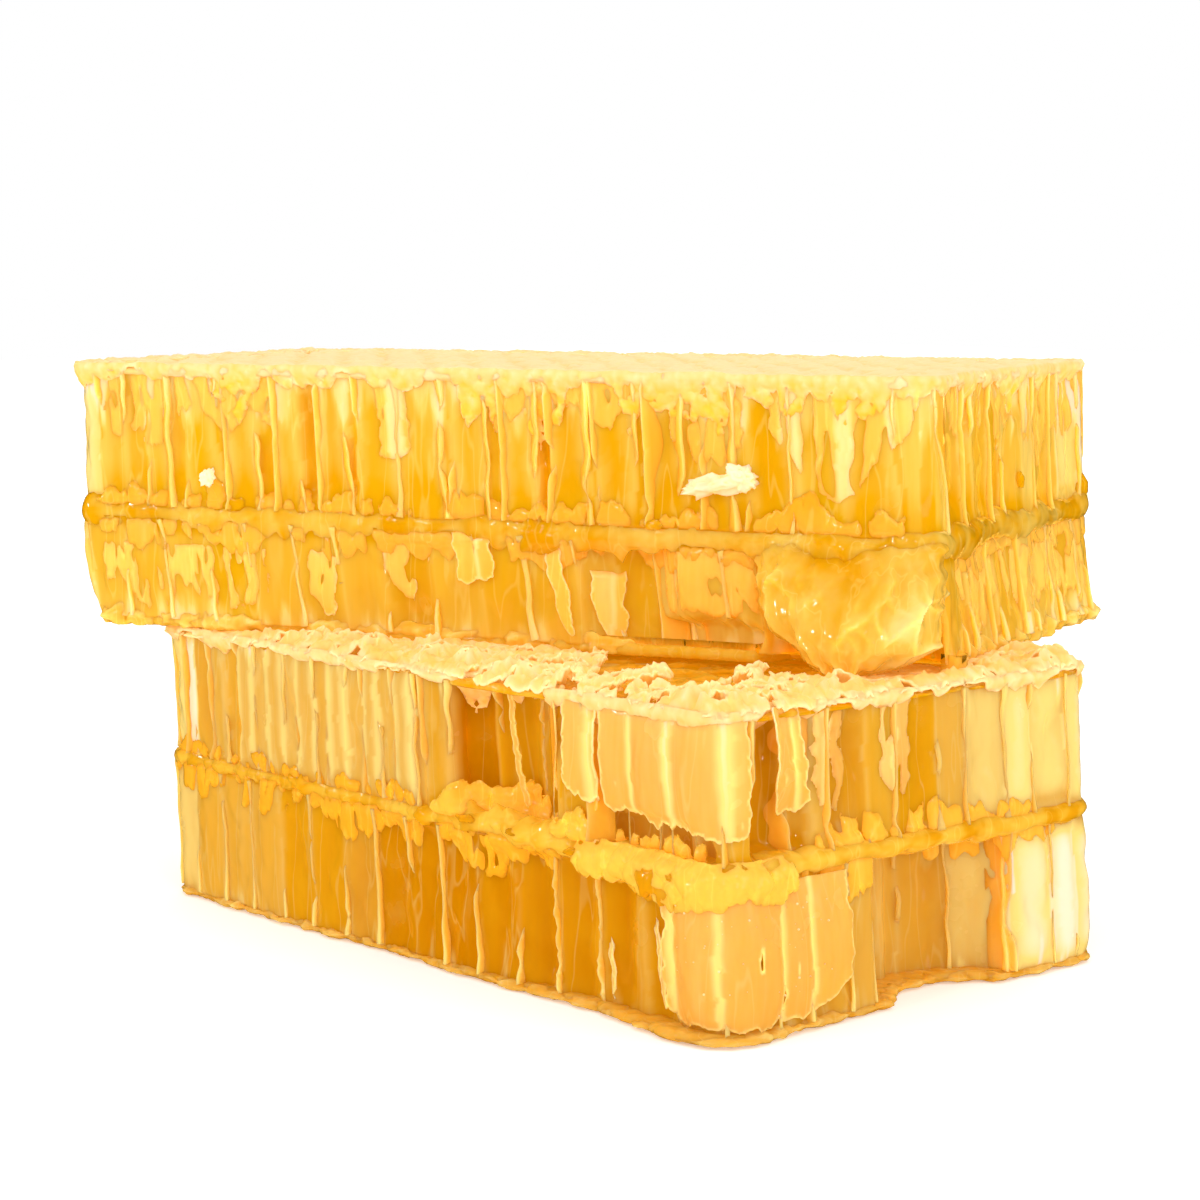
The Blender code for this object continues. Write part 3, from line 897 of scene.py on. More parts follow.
def wallStrip(slab, layer, start, direction, side, length, seed, look, openness, cuts):
    # one torn wall between two cut cells, from inside the honey out to the knife's cut
    root, mouth = layerHeights(slab, layer)
    tall = abs(mouth - root)
    sign = 1 if layer == "up" else -1
    rows = 32
    columns = max(4, int(length / (0.36 * mm)))
    up = np.linspace(-0.3 * mm, tall + 0.3 * mm, rows)[:, None]
    reach = np.linspace(-length, 1.0 * mm, columns)[None, :]
    place = up / mm
    strength, kind, part = (hashed(seed, n, 1, 5) for n in (3, 4, 6))
    tear = layeredNoise(place / 6.0, seed * 1.37, 0.0, 21, 2)
    tear = np.clip((tear - 0.25) * 2.4, 0, 1) ** 1.5 * 1.4 * look["torn"]
    jagged = openness * (0.5 + 0.6 * layeredNoise(place / 1.6, seed * 1.9, 0.0, 22, 3))
    fine = layeredNoise(place / 1.3, seed * 2.11, 0.0, 33, 2) * (0.03 + 0.12 * openness)
    flare = np.exp(-up / (0.8 * mm)) + np.exp(-(tall - up) / (2.4 * mm))
    tip = look["tip"] + (fine - tear - jagged) * mm + 0.2 * mm * np.clip(flare, 0, 1)
    if kind < 0.46:
        hanging = (tall - up) if kind < 0.26 else up
        left = (0.25 + 0.55 * part) * tall - hanging
        tip = np.minimum(tip, -0.9 * mm + left * 0.45)
    if max(cuts) > 0:
        opened = 1 - smoothStep(-0.5, 0.3, place - cuts[0] / mm - 0.2)
        opened = np.maximum(opened, 1 - smoothStep(-0.5, 0.3, (tall - up - cuts[1]) / mm - 0.2))
        tip = tip - opened * 2.6 * mm
    keep = np.maximum(tip, -length + 0.02 * mm) - reach
    curl = softNoise(place / 4.5, seed * 0.77, 0.0, 5) * look["curl"] * (1 + 1.5 * openness)
    bend = look["wobble"] * layeredNoise(place / 3.6, seed * 3.1, 0.0, 45, 2)
    outer = smoothStep(-length, 0.6 * mm, reach)
    sideways = bend * outer + curl * outer ** 3
    x = start[0] + direction[0] * reach + side[0] * sideways + layerShift(slab, layer, up)
    y = start[1] + direction[1] * reach + side[1] * sideways
    z = root + sign * up + 0.0 * reach
    world = toWorld(slab, x, y, z).reshape(-1, 3)
    uneven = 0.85 + 0.4 * softNoise(place / 2.8, seed * 1.9, 0.0, 61) + 0.9 * np.clip(flare, 0, 1)
    thick = look["thick"] * uneven * (0.45 + 1.2 * strength ** 2) + 0 * reach
    values = {"thick": thick.ravel(), "up": (up / tall + 0 * reach).ravel()}
    triangles = quadsToTriangles(gridQuads(rows, columns, False))
    points, values, faces = clipSheet(world, keep.ravel(), values, triangles)
    if len(faces) == 0:
        return None
    values["edge"] = 1 - smoothStep(0.06 * mm, 0.42 * mm, values["keep"])
    taper = 0.9 + 0.5 * values["edge"]
    return thicken(points, faces, values["thick"] * taper, values)


def addWalls(slab, layer, face, material):
    look = wallLooks[slab["name"]]
    points, normals = face["points"], face["normals"]
    column, row = face["column"], face["row"]
    count = len(points)
    offsetX, offsetY = latticeOffset(layer)
    pile = Pile("deep", "pale", "chance")
    number = 0
    for k in range(count):
        after = (k + 1) % count
        if column[k] == column[after] and row[k] == row[after]:
            continue
        number += 1
        centres = []
        for spot in (k, after):
            odd = cellWidth / 2 if row[spot] % 2 else 0.0
            centres.append((column[spot] * cellWidth + odd + offsetX, row[spot] * rowStep + offsetY))
        between = np.subtract(centres[1], centres[0])
        between = between / max(np.hypot(*between), 1e-9)
        direction = np.array([between[1], -between[0]])
        facing = float(direction @ normals[k])
        if facing < 0:
            direction = -direction
            facing = -facing
        if facing < 0.30:
            continue
        start = (points[k] + points[after]) / 2
        openness = 1 - min(1.0, 2.2 * float(max(face["fill"][k - 2], face["fill"][(after + 2) % count])))
        seed = number + slab["seed"] * 50
        cuts = (float(face["rootCut"][k]), float(face["mouthCut"][k]))
        strip = wallStrip(slab, layer, start, direction, between, 2.6 * mm, seed, look, openness, cuts)
        if strip:
            stripPoints, stripFaces, values = strip
            pale = 0.25 + 0.35 * smoothStep(0.6, 1.0, values["up"]) + 0.75 * values["edge"]
            pile.add(stripPoints, stripFaces, deep=0.2 - 0.2 * values["edge"], pale=pale, chance=0.4)
    return pile.build(f"{slab['name']}_{layer}_walls", material, slot="capping_wax")


faces = {}
recesses = {}
for slab in slabs:
    name = slab["name"]
    for layer in ("down", "up"):
        material = finishes[f"{name}Honey"]
        face, depth = addHoney(slab, layer, material, [f"{name}_{layer}_cells"])
        faces[name, layer] = face
        recesses[name, layer] = depth
        addWalls(slab, layer, faces[name, layer], finishes[f"{name}Wax"])
print("cells made")


# ---------- midribs

# The midrib where the knife passed: a wet band of wax and pooled honey. Droops are stretches that sag:
# where along the cut in mm from the front right corner, how far to each side, and how much.
midribLooks = {
    "upper": {
        "ledge": -0.05 * mm, "ragged": 0.42 * mm, "thick": 1.55 * mm, "web": 1.2 * mm, "crumbs": 0.22 * mm,
        "sway": 0.60 * mm, "droops": [(-11, 7, 1.6), (-70, 10, 0.8), (-40, 6, 0.6), (9, 5, 0.6)],
        "pale": 0.15, "deep": 0.05, "ends": 0.55 * mm,
    },
    "lower": {
        "ledge": 0.10 * mm, "ragged": 0.60 * mm, "thick": 1.15 * mm, "web": 1.0 * mm, "crumbs": 0.30 * mm,
        "sway": 0.40 * mm, "droops": [(-6, 4.5, 2.6), (-14, 4, 1.0), (3, 4, 0.5)],
        "pale": 0.25, "deep": 0.05, "ends": 0.30 * mm,
    },
}


def fromCorner(count, step):
    # millimetres along the cut from the front right corner: below zero on the front, above on the right
    along = np.arange(count) * step / mm
    return np.where(along > count * step / mm / 2, along - count * step / mm, along)


def addMidrib(slab, material):
    look = midribLooks[slab["name"]]
    step = 0.34 * mm
    points, normals = cutLoop(slab, "midrib", step)
    along = np.arange(len(points)) * step
    corner = fromCorner(len(points), step)
    seed = slab["seed"]
    angle = np.linspace(-math.pi / 2, math.pi / 2, 25)[:, None]
    lumps = layeredNoise(along / (4.2 * mm), 0.7, seed, 11, 3)[None, :]
    crumbs = layeredNoise(along[None, :] / (1.5 * mm), angle * 1.3, seed, 12, 2)
    rough = 1.0 + 0.0 * corner
    droop = 0.0 * corner
    for centre, width, amount in look["droops"]:
        swell = np.exp(-((corner - centre) / width) ** 2)
        droop = droop + amount * mm * swell
        rough = rough + 0.9 * swell
    calm = 1 - 0.9 * np.abs(normals[:, 0])[None, :]
    reach = look["ledge"] + calm * (look["ragged"] * lumps + look["crumbs"] * crumbs * rough[None, :])
    reach = reach + 0.25 * droop[None, :] + look["ends"] * np.abs(normals[:, 0])[None, :]
    thick = look["thick"] * (1 + 0.35 * layeredNoise(along / (3.0 * mm), 4.4, seed, 13, 2))[None, :]
    sway = look["sway"] * layeredNoise(along / (6.0 * mm), 8.1, seed, 14, 2)[None, :]
    below = (angle < 0) * np.abs(np.sin(angle))
    sag = -0.4 * mm * np.clip(lumps, 0, 1) * np.cos(angle)
    sag = sag * calm - droop[None, :] * (0.3 + 0.9 * below) * (1 + 0.5 * crumbs * calm)
    outward = (reach + 1.4 * mm) * np.cos(angle) ** 0.8 - 1.4 * mm
    middle = (slab["zMidrib"] + slab["zMidribTop"]) / 2
    webs = []
    for layer in ("up", "down"):
        inner = points - 0.5 * mm * normals
        _, _, _, _, wall = cellAt(inner[:, 0], inner[:, 1], layer)
        uneven = 0.7 + 0.9 * layeredNoise(along / (2.0 * mm), 6.6, seed + len(webs), 16, 2)
        webs.append(look["web"] * uneven * np.exp(-wall / (0.5 * mm)))
    web = np.where(angle > 0, webs[0][None, :], webs[1][None, :]) * np.abs(np.sin(angle)) ** 3
    x = points[None, :, 0] + normals[None, :, 0] * outward
    y = points[None, :, 1] + normals[None, :, 1] * outward
    z = middle + sway + sag + (thick + 0.25 * mm * crumbs * calm + web * calm) * np.sin(angle)
    inner = points - normals * 4.0 * mm
    rows = [toWorld(slab, inner[:, 0], inner[:, 1], z[0] * 0 + middle - 0.9 * mm)]
    rows += list(toWorld(slab, x, y, z))
    rows.append(toWorld(slab, inner[:, 0], inner[:, 1], z[0] * 0 + middle + 0.9 * mm))
    world = np.stack(rows)
    wet = np.clip(lumps * 0.6 + crumbs * 0.5 + 0.35, 0, 1)
    wet = np.vstack([wet[:1], wet, wet[-1:]])
    count = len(points)
    pile = Pile("deep", "pale", "chance")
    patchy = layeredNoise(along / (5.0 * mm), 2.4, seed, 17, 3)[None, :]
    pale = np.clip(look["pale"] + 0.7 * (0.5 - wet) + 0.5 * patchy, 0, 1)
    deep = np.clip(look["deep"] + 0.5 * wet - 0.4 * patchy, 0, 1)
    pile.add(world.reshape(-1, 3), gridQuads(len(rows), count, True), deep=deep.ravel(), pale=pale.ravel(), chance=0.5)
    last = (len(rows) - 1) * count
    pile.addLoose([list(range(count))[::-1], list(range(last, last + count))])
    name = f"{slab['name']}_midrib_ledge"
    return pile.build(name, material, [f"{slab['name']}_midrib"], "wet_midrib_wax")


addMidrib(upper, finishes["upperPool"])
addMidrib(lower, finishes["torn"])
print("midribs made")


# ---------- cappings


def plateGrid(slab, step, margin):
    halfLength = slab["length"] / 2 + margin
    halfWidth = slab["width"] / 2 + margin
    x = np.arange(-halfLength, halfLength + step, step)
    y = np.arange(-halfWidth, halfWidth + step, step)
    gridX, gridY = np.meshgrid(x, y)
    triangles = quadsToTriangles(gridQuads(len(y), len(x), False))
    return gridX.ravel(), gridY.ravel(), triangles


def closedPlate(slab, x, y, keep, top, bottom, triangles, shift, values):
    # a plate between two heights, cut off where keep runs out and rounded at its rim
    flat = np.stack([x, y, np.zeros(len(x))], axis=-1)
    values = dict(values)
    values["top"] = top
    values["bottom"] = bottom
    points, values, faces = clipSheet(flat, keep, values, triangles)
    rounding = 0.9 * mm
    rim = np.sqrt(np.clip(1 - (1 - np.minimum(values["keep"], rounding) / rounding) ** 2, 0, 1))
    middle = (values["top"] + values["bottom"]) / 2
    half = (values["top"] - values["bottom"]) / 2 * (0.25 + 0.75 * rim)
    front = toWorld(slab, points[:, 0] + shift, points[:, 1], middle + half)
    back = toWorld(slab, points[:, 0] + shift, points[:, 1], middle - half)
    edges = np.vstack([faces[:, [0, 1]], faces[:, [1, 2]], faces[:, [2, 0]]])
    count = len(points)
    order = edges[:, 0] * (count + 1) + edges[:, 1]
    reverse = edges[:, 1] * (count + 1) + edges[:, 0]
    rimEdges = edges[~np.isin(order, reverse)]
    i, j = rimEdges[:, 0], rimEdges[:, 1]
    sides = np.vstack([np.stack([j, i, i + count], -1), np.stack([j, i + count, j + count], -1)])
    allFaces = np.vstack([faces, faces[:, ::-1] + count, sides])
    values = {name: np.concatenate([value, value]) for name, value in values.items()}
    return np.vstack([front, back]), allFaces, values


crustLook = {"step": 0.5 * mm, "lid": 0.30 * mm, "crumb": 0.34 * mm, "overhang": {"top": 0.3, "base": -0.35}}


def addCrust(slab, name, low, high, layer, shift, replaced, domed, material):
    look = crustLook
    x, y, triangles = plateGrid(slab, look["step"], 3.2 * mm)
    notches = slab["notches"].get("base", ()) if layer == "base" else ()
    inside = rimDepth(slab, x, y, notches)
    wide = layeredNoise(x / (3.5 * mm), y / (3.5 * mm), slab["seed"], 71, 3)
    fine = layeredNoise(x / (1.0 * mm), y / (1.0 * mm), slab["seed"], 72, 3)
    keep = inside + look["overhang"][layer] * mm + 0.35 * mm * wide + 0.22 * mm * fine
    for flangeX, flangeY, spread, amount in slab["flanges"].get(layer, ()):
        near = np.exp(-(np.hypot(x / mm - flangeX, y / mm - flangeY) / spread) ** 2)
        keep = keep + amount * mm * near * (1 + 0.5 * wide)
    _, _, _, _, wall = cellAt(x, y, "up")
    lid = smoothStep(0.0, 1.6 * mm, wall)
    end = domed * smoothStep(-40 * mm, -48 * mm, x)
    crumbs = look["crumb"] * (0.7 * wide + 0.8 * fine) * (1 + 0.9 * end)
    top = high - look["lid"] * (1 - lid) * domed - 0.15 * mm + crumbs * (0.4 + 0.6 * domed)
    top = np.minimum(top - 0.4 * mm * end, high + 0.45 * mm)
    bottom = low + 0.05 * mm + 0.05 * mm * wide - 0.3 * mm * (low > 1 * mm)
    # edge follows the lids: the cappings stay pale over each cell and take the darker tone in the creases along the
    # walls, which is painted shade.
    values = {"pale": np.clip(0.45 + 0.8 * fine * 0.6 + 0.3 * wide, 0, 1), "edge": 0.5 * lid}
    points, faces3, values = closedPlate(slab, x, y, keep, top, bottom, triangles, shift, values)
    pile = Pile("edge", "pale", "deep", "chance")
    pale = values["pale"] * (1.0 if domed else 0.7)
    pile.add(points, faces3, edge=values["edge"], pale=pale, deep=0.2, chance=0.5)
    return pile.build(name, material, replaced, "capping_wax")


def topShift(slab):
    return leanShift(slab, "up", slab["zTop"] - slab["zMidribTop"])


for slab in slabs:
    name = slab["name"]
    tallDown = slab["zMidrib"] - slab["zBaseTop"]
    addCrust(slab, f"{name}_base_crust", slab["zBase"], slab["zBaseTop"], "base",
             leanShift(slab, "down", tallDown), [f"{name}_bottom_capping"], 0.0, finishes[f"{name}Wax"])
addCrust(upper, "upper_top_crust", upper["zTop"], upper["zTopTop"], "top",
         topShift(upper), ["upper_top_capping"], 1.0, finishes["crust"])


# The soft lumpy hem of wax and honey along a slab's foot.
hemLook = {
    "upper": {"ledge": -0.15, "ragged": 0.75, "crumbs": 0.34, "thick": 0.95, "middle": 0.65, "pale": 0.65,
              "lowest": -0.35, "open": (15.5, 31.5)},
    "lower": {"ledge": 0.10, "ragged": 0.60, "crumbs": 0.14, "thick": 0.42, "middle": 0.45, "pale": 0.6,
              "lowest": 0.0, "open": (0, 0)},
}


def addHem(slab, material):
    look = hemLook[slab["name"]]
    step = 0.34 * mm
    points, normals = cutLoop(slab, "base", step)
    along = np.arange(len(points)) * step / mm
    angle = np.linspace(-math.pi / 2, math.pi / 2, 15)[:, None]
    lumps = layeredNoise(along / 3.4, 1.7, slab["seed"], 61, 3)[None, :]
    crumbs = layeredNoise(along[None, :] / 1.6, angle * 1.1, slab["seed"], 62, 3)
    reach = look["ledge"] + look["ragged"] * lumps + look["crumbs"] * crumbs
    for flangeX, flangeY, spread, amount in slab["flanges"].get("base", ()):
        near = np.hypot(points[:, 0] / mm - flangeX, points[:, 1] / mm - flangeY) / spread
        reach = reach + (amount * np.exp(-near ** 2))[None, :]
    thick = look["thick"] * (1 + 0.8 * layeredNoise(along / 2.2, 5.1, slab["seed"], 63, 2))[None, :]
    start, end = look["open"]
    place = points[:, 0] / mm
    opened = smoothStep(start - 1.5, start + 1.5, place) * (1 - smoothStep(end - 1.5, end + 1.5, place))
    opened = (opened * (points[:, 1] < 0))[None, :]
    thick = thick * (1 - 0.75 * opened)
    reach = reach - 1.1 * opened
    outward = (reach + 1.2) * np.cos(angle) ** 0.7 - 1.2
    height = slab["zBase"] / mm + look["middle"] + (thick + 0.2 * crumbs) * np.sin(angle)
    height = np.maximum(height, slab["zBase"] / mm + look["lowest"])
    inner = points - normals * 1.2 * mm
    shift = leanShift(slab, "down", slab["zMidrib"] - slab["zBaseTop"])
    x = points[None, :, 0] + normals[None, :, 0] * outward * mm + shift
    y = points[None, :, 1] + normals[None, :, 1] * outward * mm
    low = slab["zBase"] + 0.05 * mm
    high = slab["zBase"] + (look["middle"] + look["thick"]) * mm
    rows = [toWorld(slab, inner[:, 0] + shift, inner[:, 1], low)]
    rows += list(toWorld(slab, x, y, height * mm))
    rows.append(toWorld(slab, inner[:, 0] + shift, inner[:, 1], high))
    rows.append(rows[0])
    world = np.stack(rows)
    pale = np.clip(look["pale"] + 0.5 * lumps + 0.45 * crumbs, 0, 1.3)
    pale = np.vstack([pale[:1], pale, pale[-1:], pale[:1]])
    pile = Pile("deep", "pale", "chance")
    count = len(points)
    pile.add(world.reshape(-1, 3), gridQuads(len(rows), count, True), deep=0.25, pale=pale.ravel(), chance=0.5)
    return pile.build(f"{slab['name']}_hem", material, slot="capping_wax")


for slab in slabs:
    addHem(slab, finishes[f"{slab['name']}Wax"])


def addHoneyTop(slab, material):
    # the lower slab's uncapped top: cells brimming with amber honey
    x, y, triangles = plateGrid(slab, 0.7 * mm, 1.0 * mm)
    inside = rimDepth(slab, x, y)
    wide = layeredNoise(x / (5 * mm), y / (5 * mm), 2.0, 81, 2)
    _, _, _, _, wall = cellAt(x, y, "up")
    ridge = 1 - smoothStep(0.0, 0.9 * mm, wall)
    keep = inside - 0.1 * mm
    top = slab["zTop"] + 0.45 * mm + 0.20 * mm * wide + 0.30 * mm * ridge
    bottom = top * 0 + slab["zTop"] - 0.3 * mm
    values = {"deep": np.clip(0.45 + 0.4 * wide - 0.4 * ridge, 0, 1), "pale": 0.35 * ridge}
    points, plateFaces, values = closedPlate(slab, x, y, keep, top, bottom, triangles, topShift(slab), values)
    pile = Pile("deep", "pale", "chance")
    pile.add(points, plateFaces, deep=values["deep"], pale=values["pale"], chance=0.5)
    return pile.build(f"{slab['name']}_honey_top", material, [f"{slab['name']}_top_capping"], "amber_honey")


addHoneyTop(lower, finishes["upperPool"])

# The torn cappings left on the lower slab: how wide a band of them stands along its edges, and the holes.
tornLook = {"step": 0.36 * mm, "band": 9.5 * mm, "thick": 0.28 * mm, "lift": 0.75 * mm, "curl": 0.9 * mm}


def clearOfUpper(x, y):
    # 1 where nothing lies on the lower slab at its x and y, 0 under the upper slab and its lump
    place = toWorld(lower, x, y, 0.0)[..., :2] - np.array(upper["centre"])
    c, s = math.cos(upper["yaw"]), math.sin(upper["yaw"])
    acrossX = c * place[..., 0] + s * place[..., 1]
    acrossY = -s * place[..., 0] + c * place[..., 1]
    beyond = np.maximum(np.abs(acrossX) - upper["length"] / 2, np.abs(acrossY) - upper["width"] / 2)
    lump = np.exp(-((acrossX / mm - 41) / 8) ** 4 - ((acrossY / mm + 28) / 6) ** 4)
    return smoothStep(0.3 * mm, 3.5 * mm, beyond) * (1 - lump)


def addTornCappings(slab, material):
    look = tornLook
    x, y, triangles = plateGrid(slab, look["step"], 1.6 * mm)
    inside = rimDepth(slab, x, y)
    near = inside < 22 * mm
    wide = layeredNoise(x / (6.0 * mm), y / (6.0 * mm), 1.0, 91, 3)
    middle = layeredNoise(x / (2.4 * mm), y / (2.4 * mm), 1.0, 92, 3)
    fine = layeredNoise(x / (0.8 * mm), y / (0.8 * mm), 1.0, 93, 3)
    bare = np.exp(-((x / mm - 25) / 11) ** 4)
    band = look["band"] * (1.75 - 0.95 * bare + 0.6 * wide) + 1.2 * mm * middle
    _, _, _, _, wall = cellAt(x, y, "up")
    lid = smoothStep(0.0, 1.8 * mm, wall)
    overhang = 0.35 * mm + 0.5 * mm * middle + 0.35 * mm * fine
    clear = clearOfUpper(x, y)
    hole = (middle + 0.35 * fine + 0.30 * lid) - 0.62 + 0.28 * bare + 0.12 * clear
    keep = np.minimum(inside + overhang, band - inside)
    keep = np.minimum(keep, -hole * 1.6 * mm)
    keep = np.where(near, keep, -1.0)
    crumple = look["lift"] * (0.45 * middle + 0.35 * wide) + 0.22 * mm * fine
    droop = 0.8 * mm * smoothStep(0.9 * mm, -0.6 * mm, inside)
    ridges = np.clip(1 - 3.0 * np.abs(middle), 0, 1)
    curl = np.exp(-np.maximum(keep, 0) / (0.8 * mm)) * np.clip(0.6 + 1.5 * wide, 0, 1.4)
    rise = clear * look["curl"] * (0.2 + 0.7 * ridges + 0.9 * curl * (inside > 1.0 * mm))
    z = slab["zTop"] + 0.95 * mm + crumple - droop + 0.10 * mm * lid + rise
    z = np.clip(z, slab["zTop"] - 0.6 * mm, slab["zTopTop"] + 0.25 * mm + 1.8 * mm * clear)
    flat = toWorld(slab, x + topShift(slab), y, z)
    values = {"tone": 0.5 + 0.5 * fine + 0.3 * wide}
    points, values, kept = clipSheet(flat, keep, values, triangles)
    edge = 1 - smoothStep(0.05 * mm, 0.6 * mm, values["keep"])
    thick = look["thick"] * (0.6 + 0.8 * smoothStep(0.0, 0.4 * mm, values["keep"]))
    values["edge"] = edge
    points, kept, values = thicken(points, kept, thick, values)
    pile = Pile("edge", "pale")
    pile.add(points, kept, edge=values["edge"] * 0.7, pale=np.clip(values["tone"], 0, 1) * 0.45)
    return pile.build(f"{slab['name']}_torn_cappings", material, slot="capping_wax")


addTornCappings(lower, finishes["crust"])


# Wax smeared down over the cut from the cappings: reach is how far it hangs, in mm, and drapes are the
# stretches (slab x from, to, reach) on the front where it hangs further.
skirtLook = {
    "upper": {
        "step": 0.38 * mm, "rows": 30, "reach": 1.5, "ragged": 2.6, "thick": 0.22 * mm, "holes": 0.30,
        "drapes": [(-1, 10.5, 4.2), (17, 31, 3.6), (31, 44.5, 3.4), (-30, -24, 3.0)],
    },
    "lower": {
        "step": 0.38 * mm, "rows": 22, "reach": 0.7, "ragged": 1.6, "thick": 0.20 * mm, "holes": 0.4,
        "drapes": [(9, 13, 3.0), (26, 41, 1.6)],
    },
}


def addSkirt(slab, face, depth, material):
    look = skirtLook[slab["name"]]
    points, normals = cutLoop(slab, "up", look["step"])
    along = np.arange(len(points)) * look["step"]
    root, mouth = layerHeights(slab, "up")
    longest = 9.0 * mm
    hang = np.linspace(-1.3 * mm, longest, look["rows"] + 4)[:, None]
    wide = layeredNoise(along / (4.5 * mm), 0.3, slab["seed"], 51, 2)
    middle = layeredNoise(along / (2.6 * mm), 0.6, slab["seed"], 52, 3)
    reach = look["reach"] + look["ragged"] * np.clip(wide, -0.4, 1) + 0.8 * middle
    front = points[:, 1] < -slab["width"] / 2 + 4 * mm
    for start, end, extra in look["drapes"]:
        x = points[:, 0] / mm
        inside = smoothStep(start - 1.0, start + 1.0, x) * (1 - smoothStep(end - 1.0, end + 1.0, x))
        reach = reach + np.where(front, inside * extra * (0.75 + 0.6 * middle), 0.0)
    reach = np.clip(reach, 0.15, 8.5) * mm
    keep = reach[None, :] - hang
    holes = layeredNoise(along[None, :] / (1.3 * mm), hang / (2.2 * mm), slab["seed"], 53, 3)
    keep = np.minimum(keep, (look["holes"] + 0.9 * np.exp(-np.maximum(hang, 0) / (1.6 * mm)) - holes) * 1.2 * mm)
    keep = np.minimum(keep, hang + 1.25 * mm + 0.4 * mm * middle[None, :])
    sample = np.arange(len(points)) * look["step"] / comb["step"]
    spot = np.mod(np.round(sample).astype(int), depth.shape[1])
    tall = mouth - root
    level = np.clip((tall - hang) / tall, 0, 1) * (depth.shape[0] - 1)
    recess = depth[np.round(level).astype(int)[:, 0]][:, spot]
    recess = smoothAlong(recess, 2.2, 1, True)
    hug = smoothStep(0.3 * mm, 3.0 * mm, hang) * 0.80
    crumb = layeredNoise(along[None, :] / (0.8 * mm), hang / (0.9 * mm), slab["seed"], 54, 3)
    dive = (1 - smoothStep(0.0, 1.1 * mm, keep)) * smoothStep(0.3 * mm, 1.2 * mm, hang)
    out = 0.28 * mm - recess * hug + 0.16 * mm * crumb - 0.5 * mm * dive
    out = np.where(hang < 0, 0.2 * mm + hang, out)
    rim = slab["zTopTop"] - (0.22 - 0.16 * middle[None, :] - 0.10 * crumb) * mm
    z = rim - np.maximum(hang, 0) * (1 + 0.12 * np.exp(-np.maximum(hang, 0) / mm))
    z = np.where(hang < 0, rim + 0.25 * hang, z)
    x = points[None, :, 0] + normals[None, :, 0] * out + topShift(slab) * np.clip(1 - hang / tall, 0, 1)
    y = points[None, :, 1] + normals[None, :, 1] * out
    world = toWorld(slab, x, y, z).reshape(-1, 3)
    rows, columns = out.shape
    quads = gridQuads(rows, columns, True)[:, ::-1]
    values = {"hang": (hang + 0 * out).ravel(), "crumb": crumb.ravel()}
    sheet, values, kept = clipSheet(world, keep.ravel(), values, quadsToTriangles(quads))
    thick = look["thick"] * (0.7 + 0.9 * np.exp(-np.maximum(values["hang"], 0) / (1.2 * mm)))
    values["edge"] = 1 - smoothStep(0.05 * mm, 0.5 * mm, values["keep"])
    sheet, kept, values = thicken(sheet, kept, thick, values, 0.7)
    fade = np.exp(-np.maximum(values["hang"], 0) / (3.0 * mm))
    pile = Pile("edge", "pale")
    pile.add(sheet, kept, edge=values["edge"] * 0.45, pale=np.clip(0.9 * fade - 0.2 + 0.4 * values["crumb"], 0, 1))
    return pile.build(f"{slab['name']}_skirt", material, slot="capping_wax")


for slab in slabs:
    face = faces[slab["name"], "up"]
    addSkirt(slab, face, recesses[slab["name"], "up"], finishes[f"{slab['name']}Skirt"])
print("cappings made")


# ---------- films, drapes and flanges torn along the cut

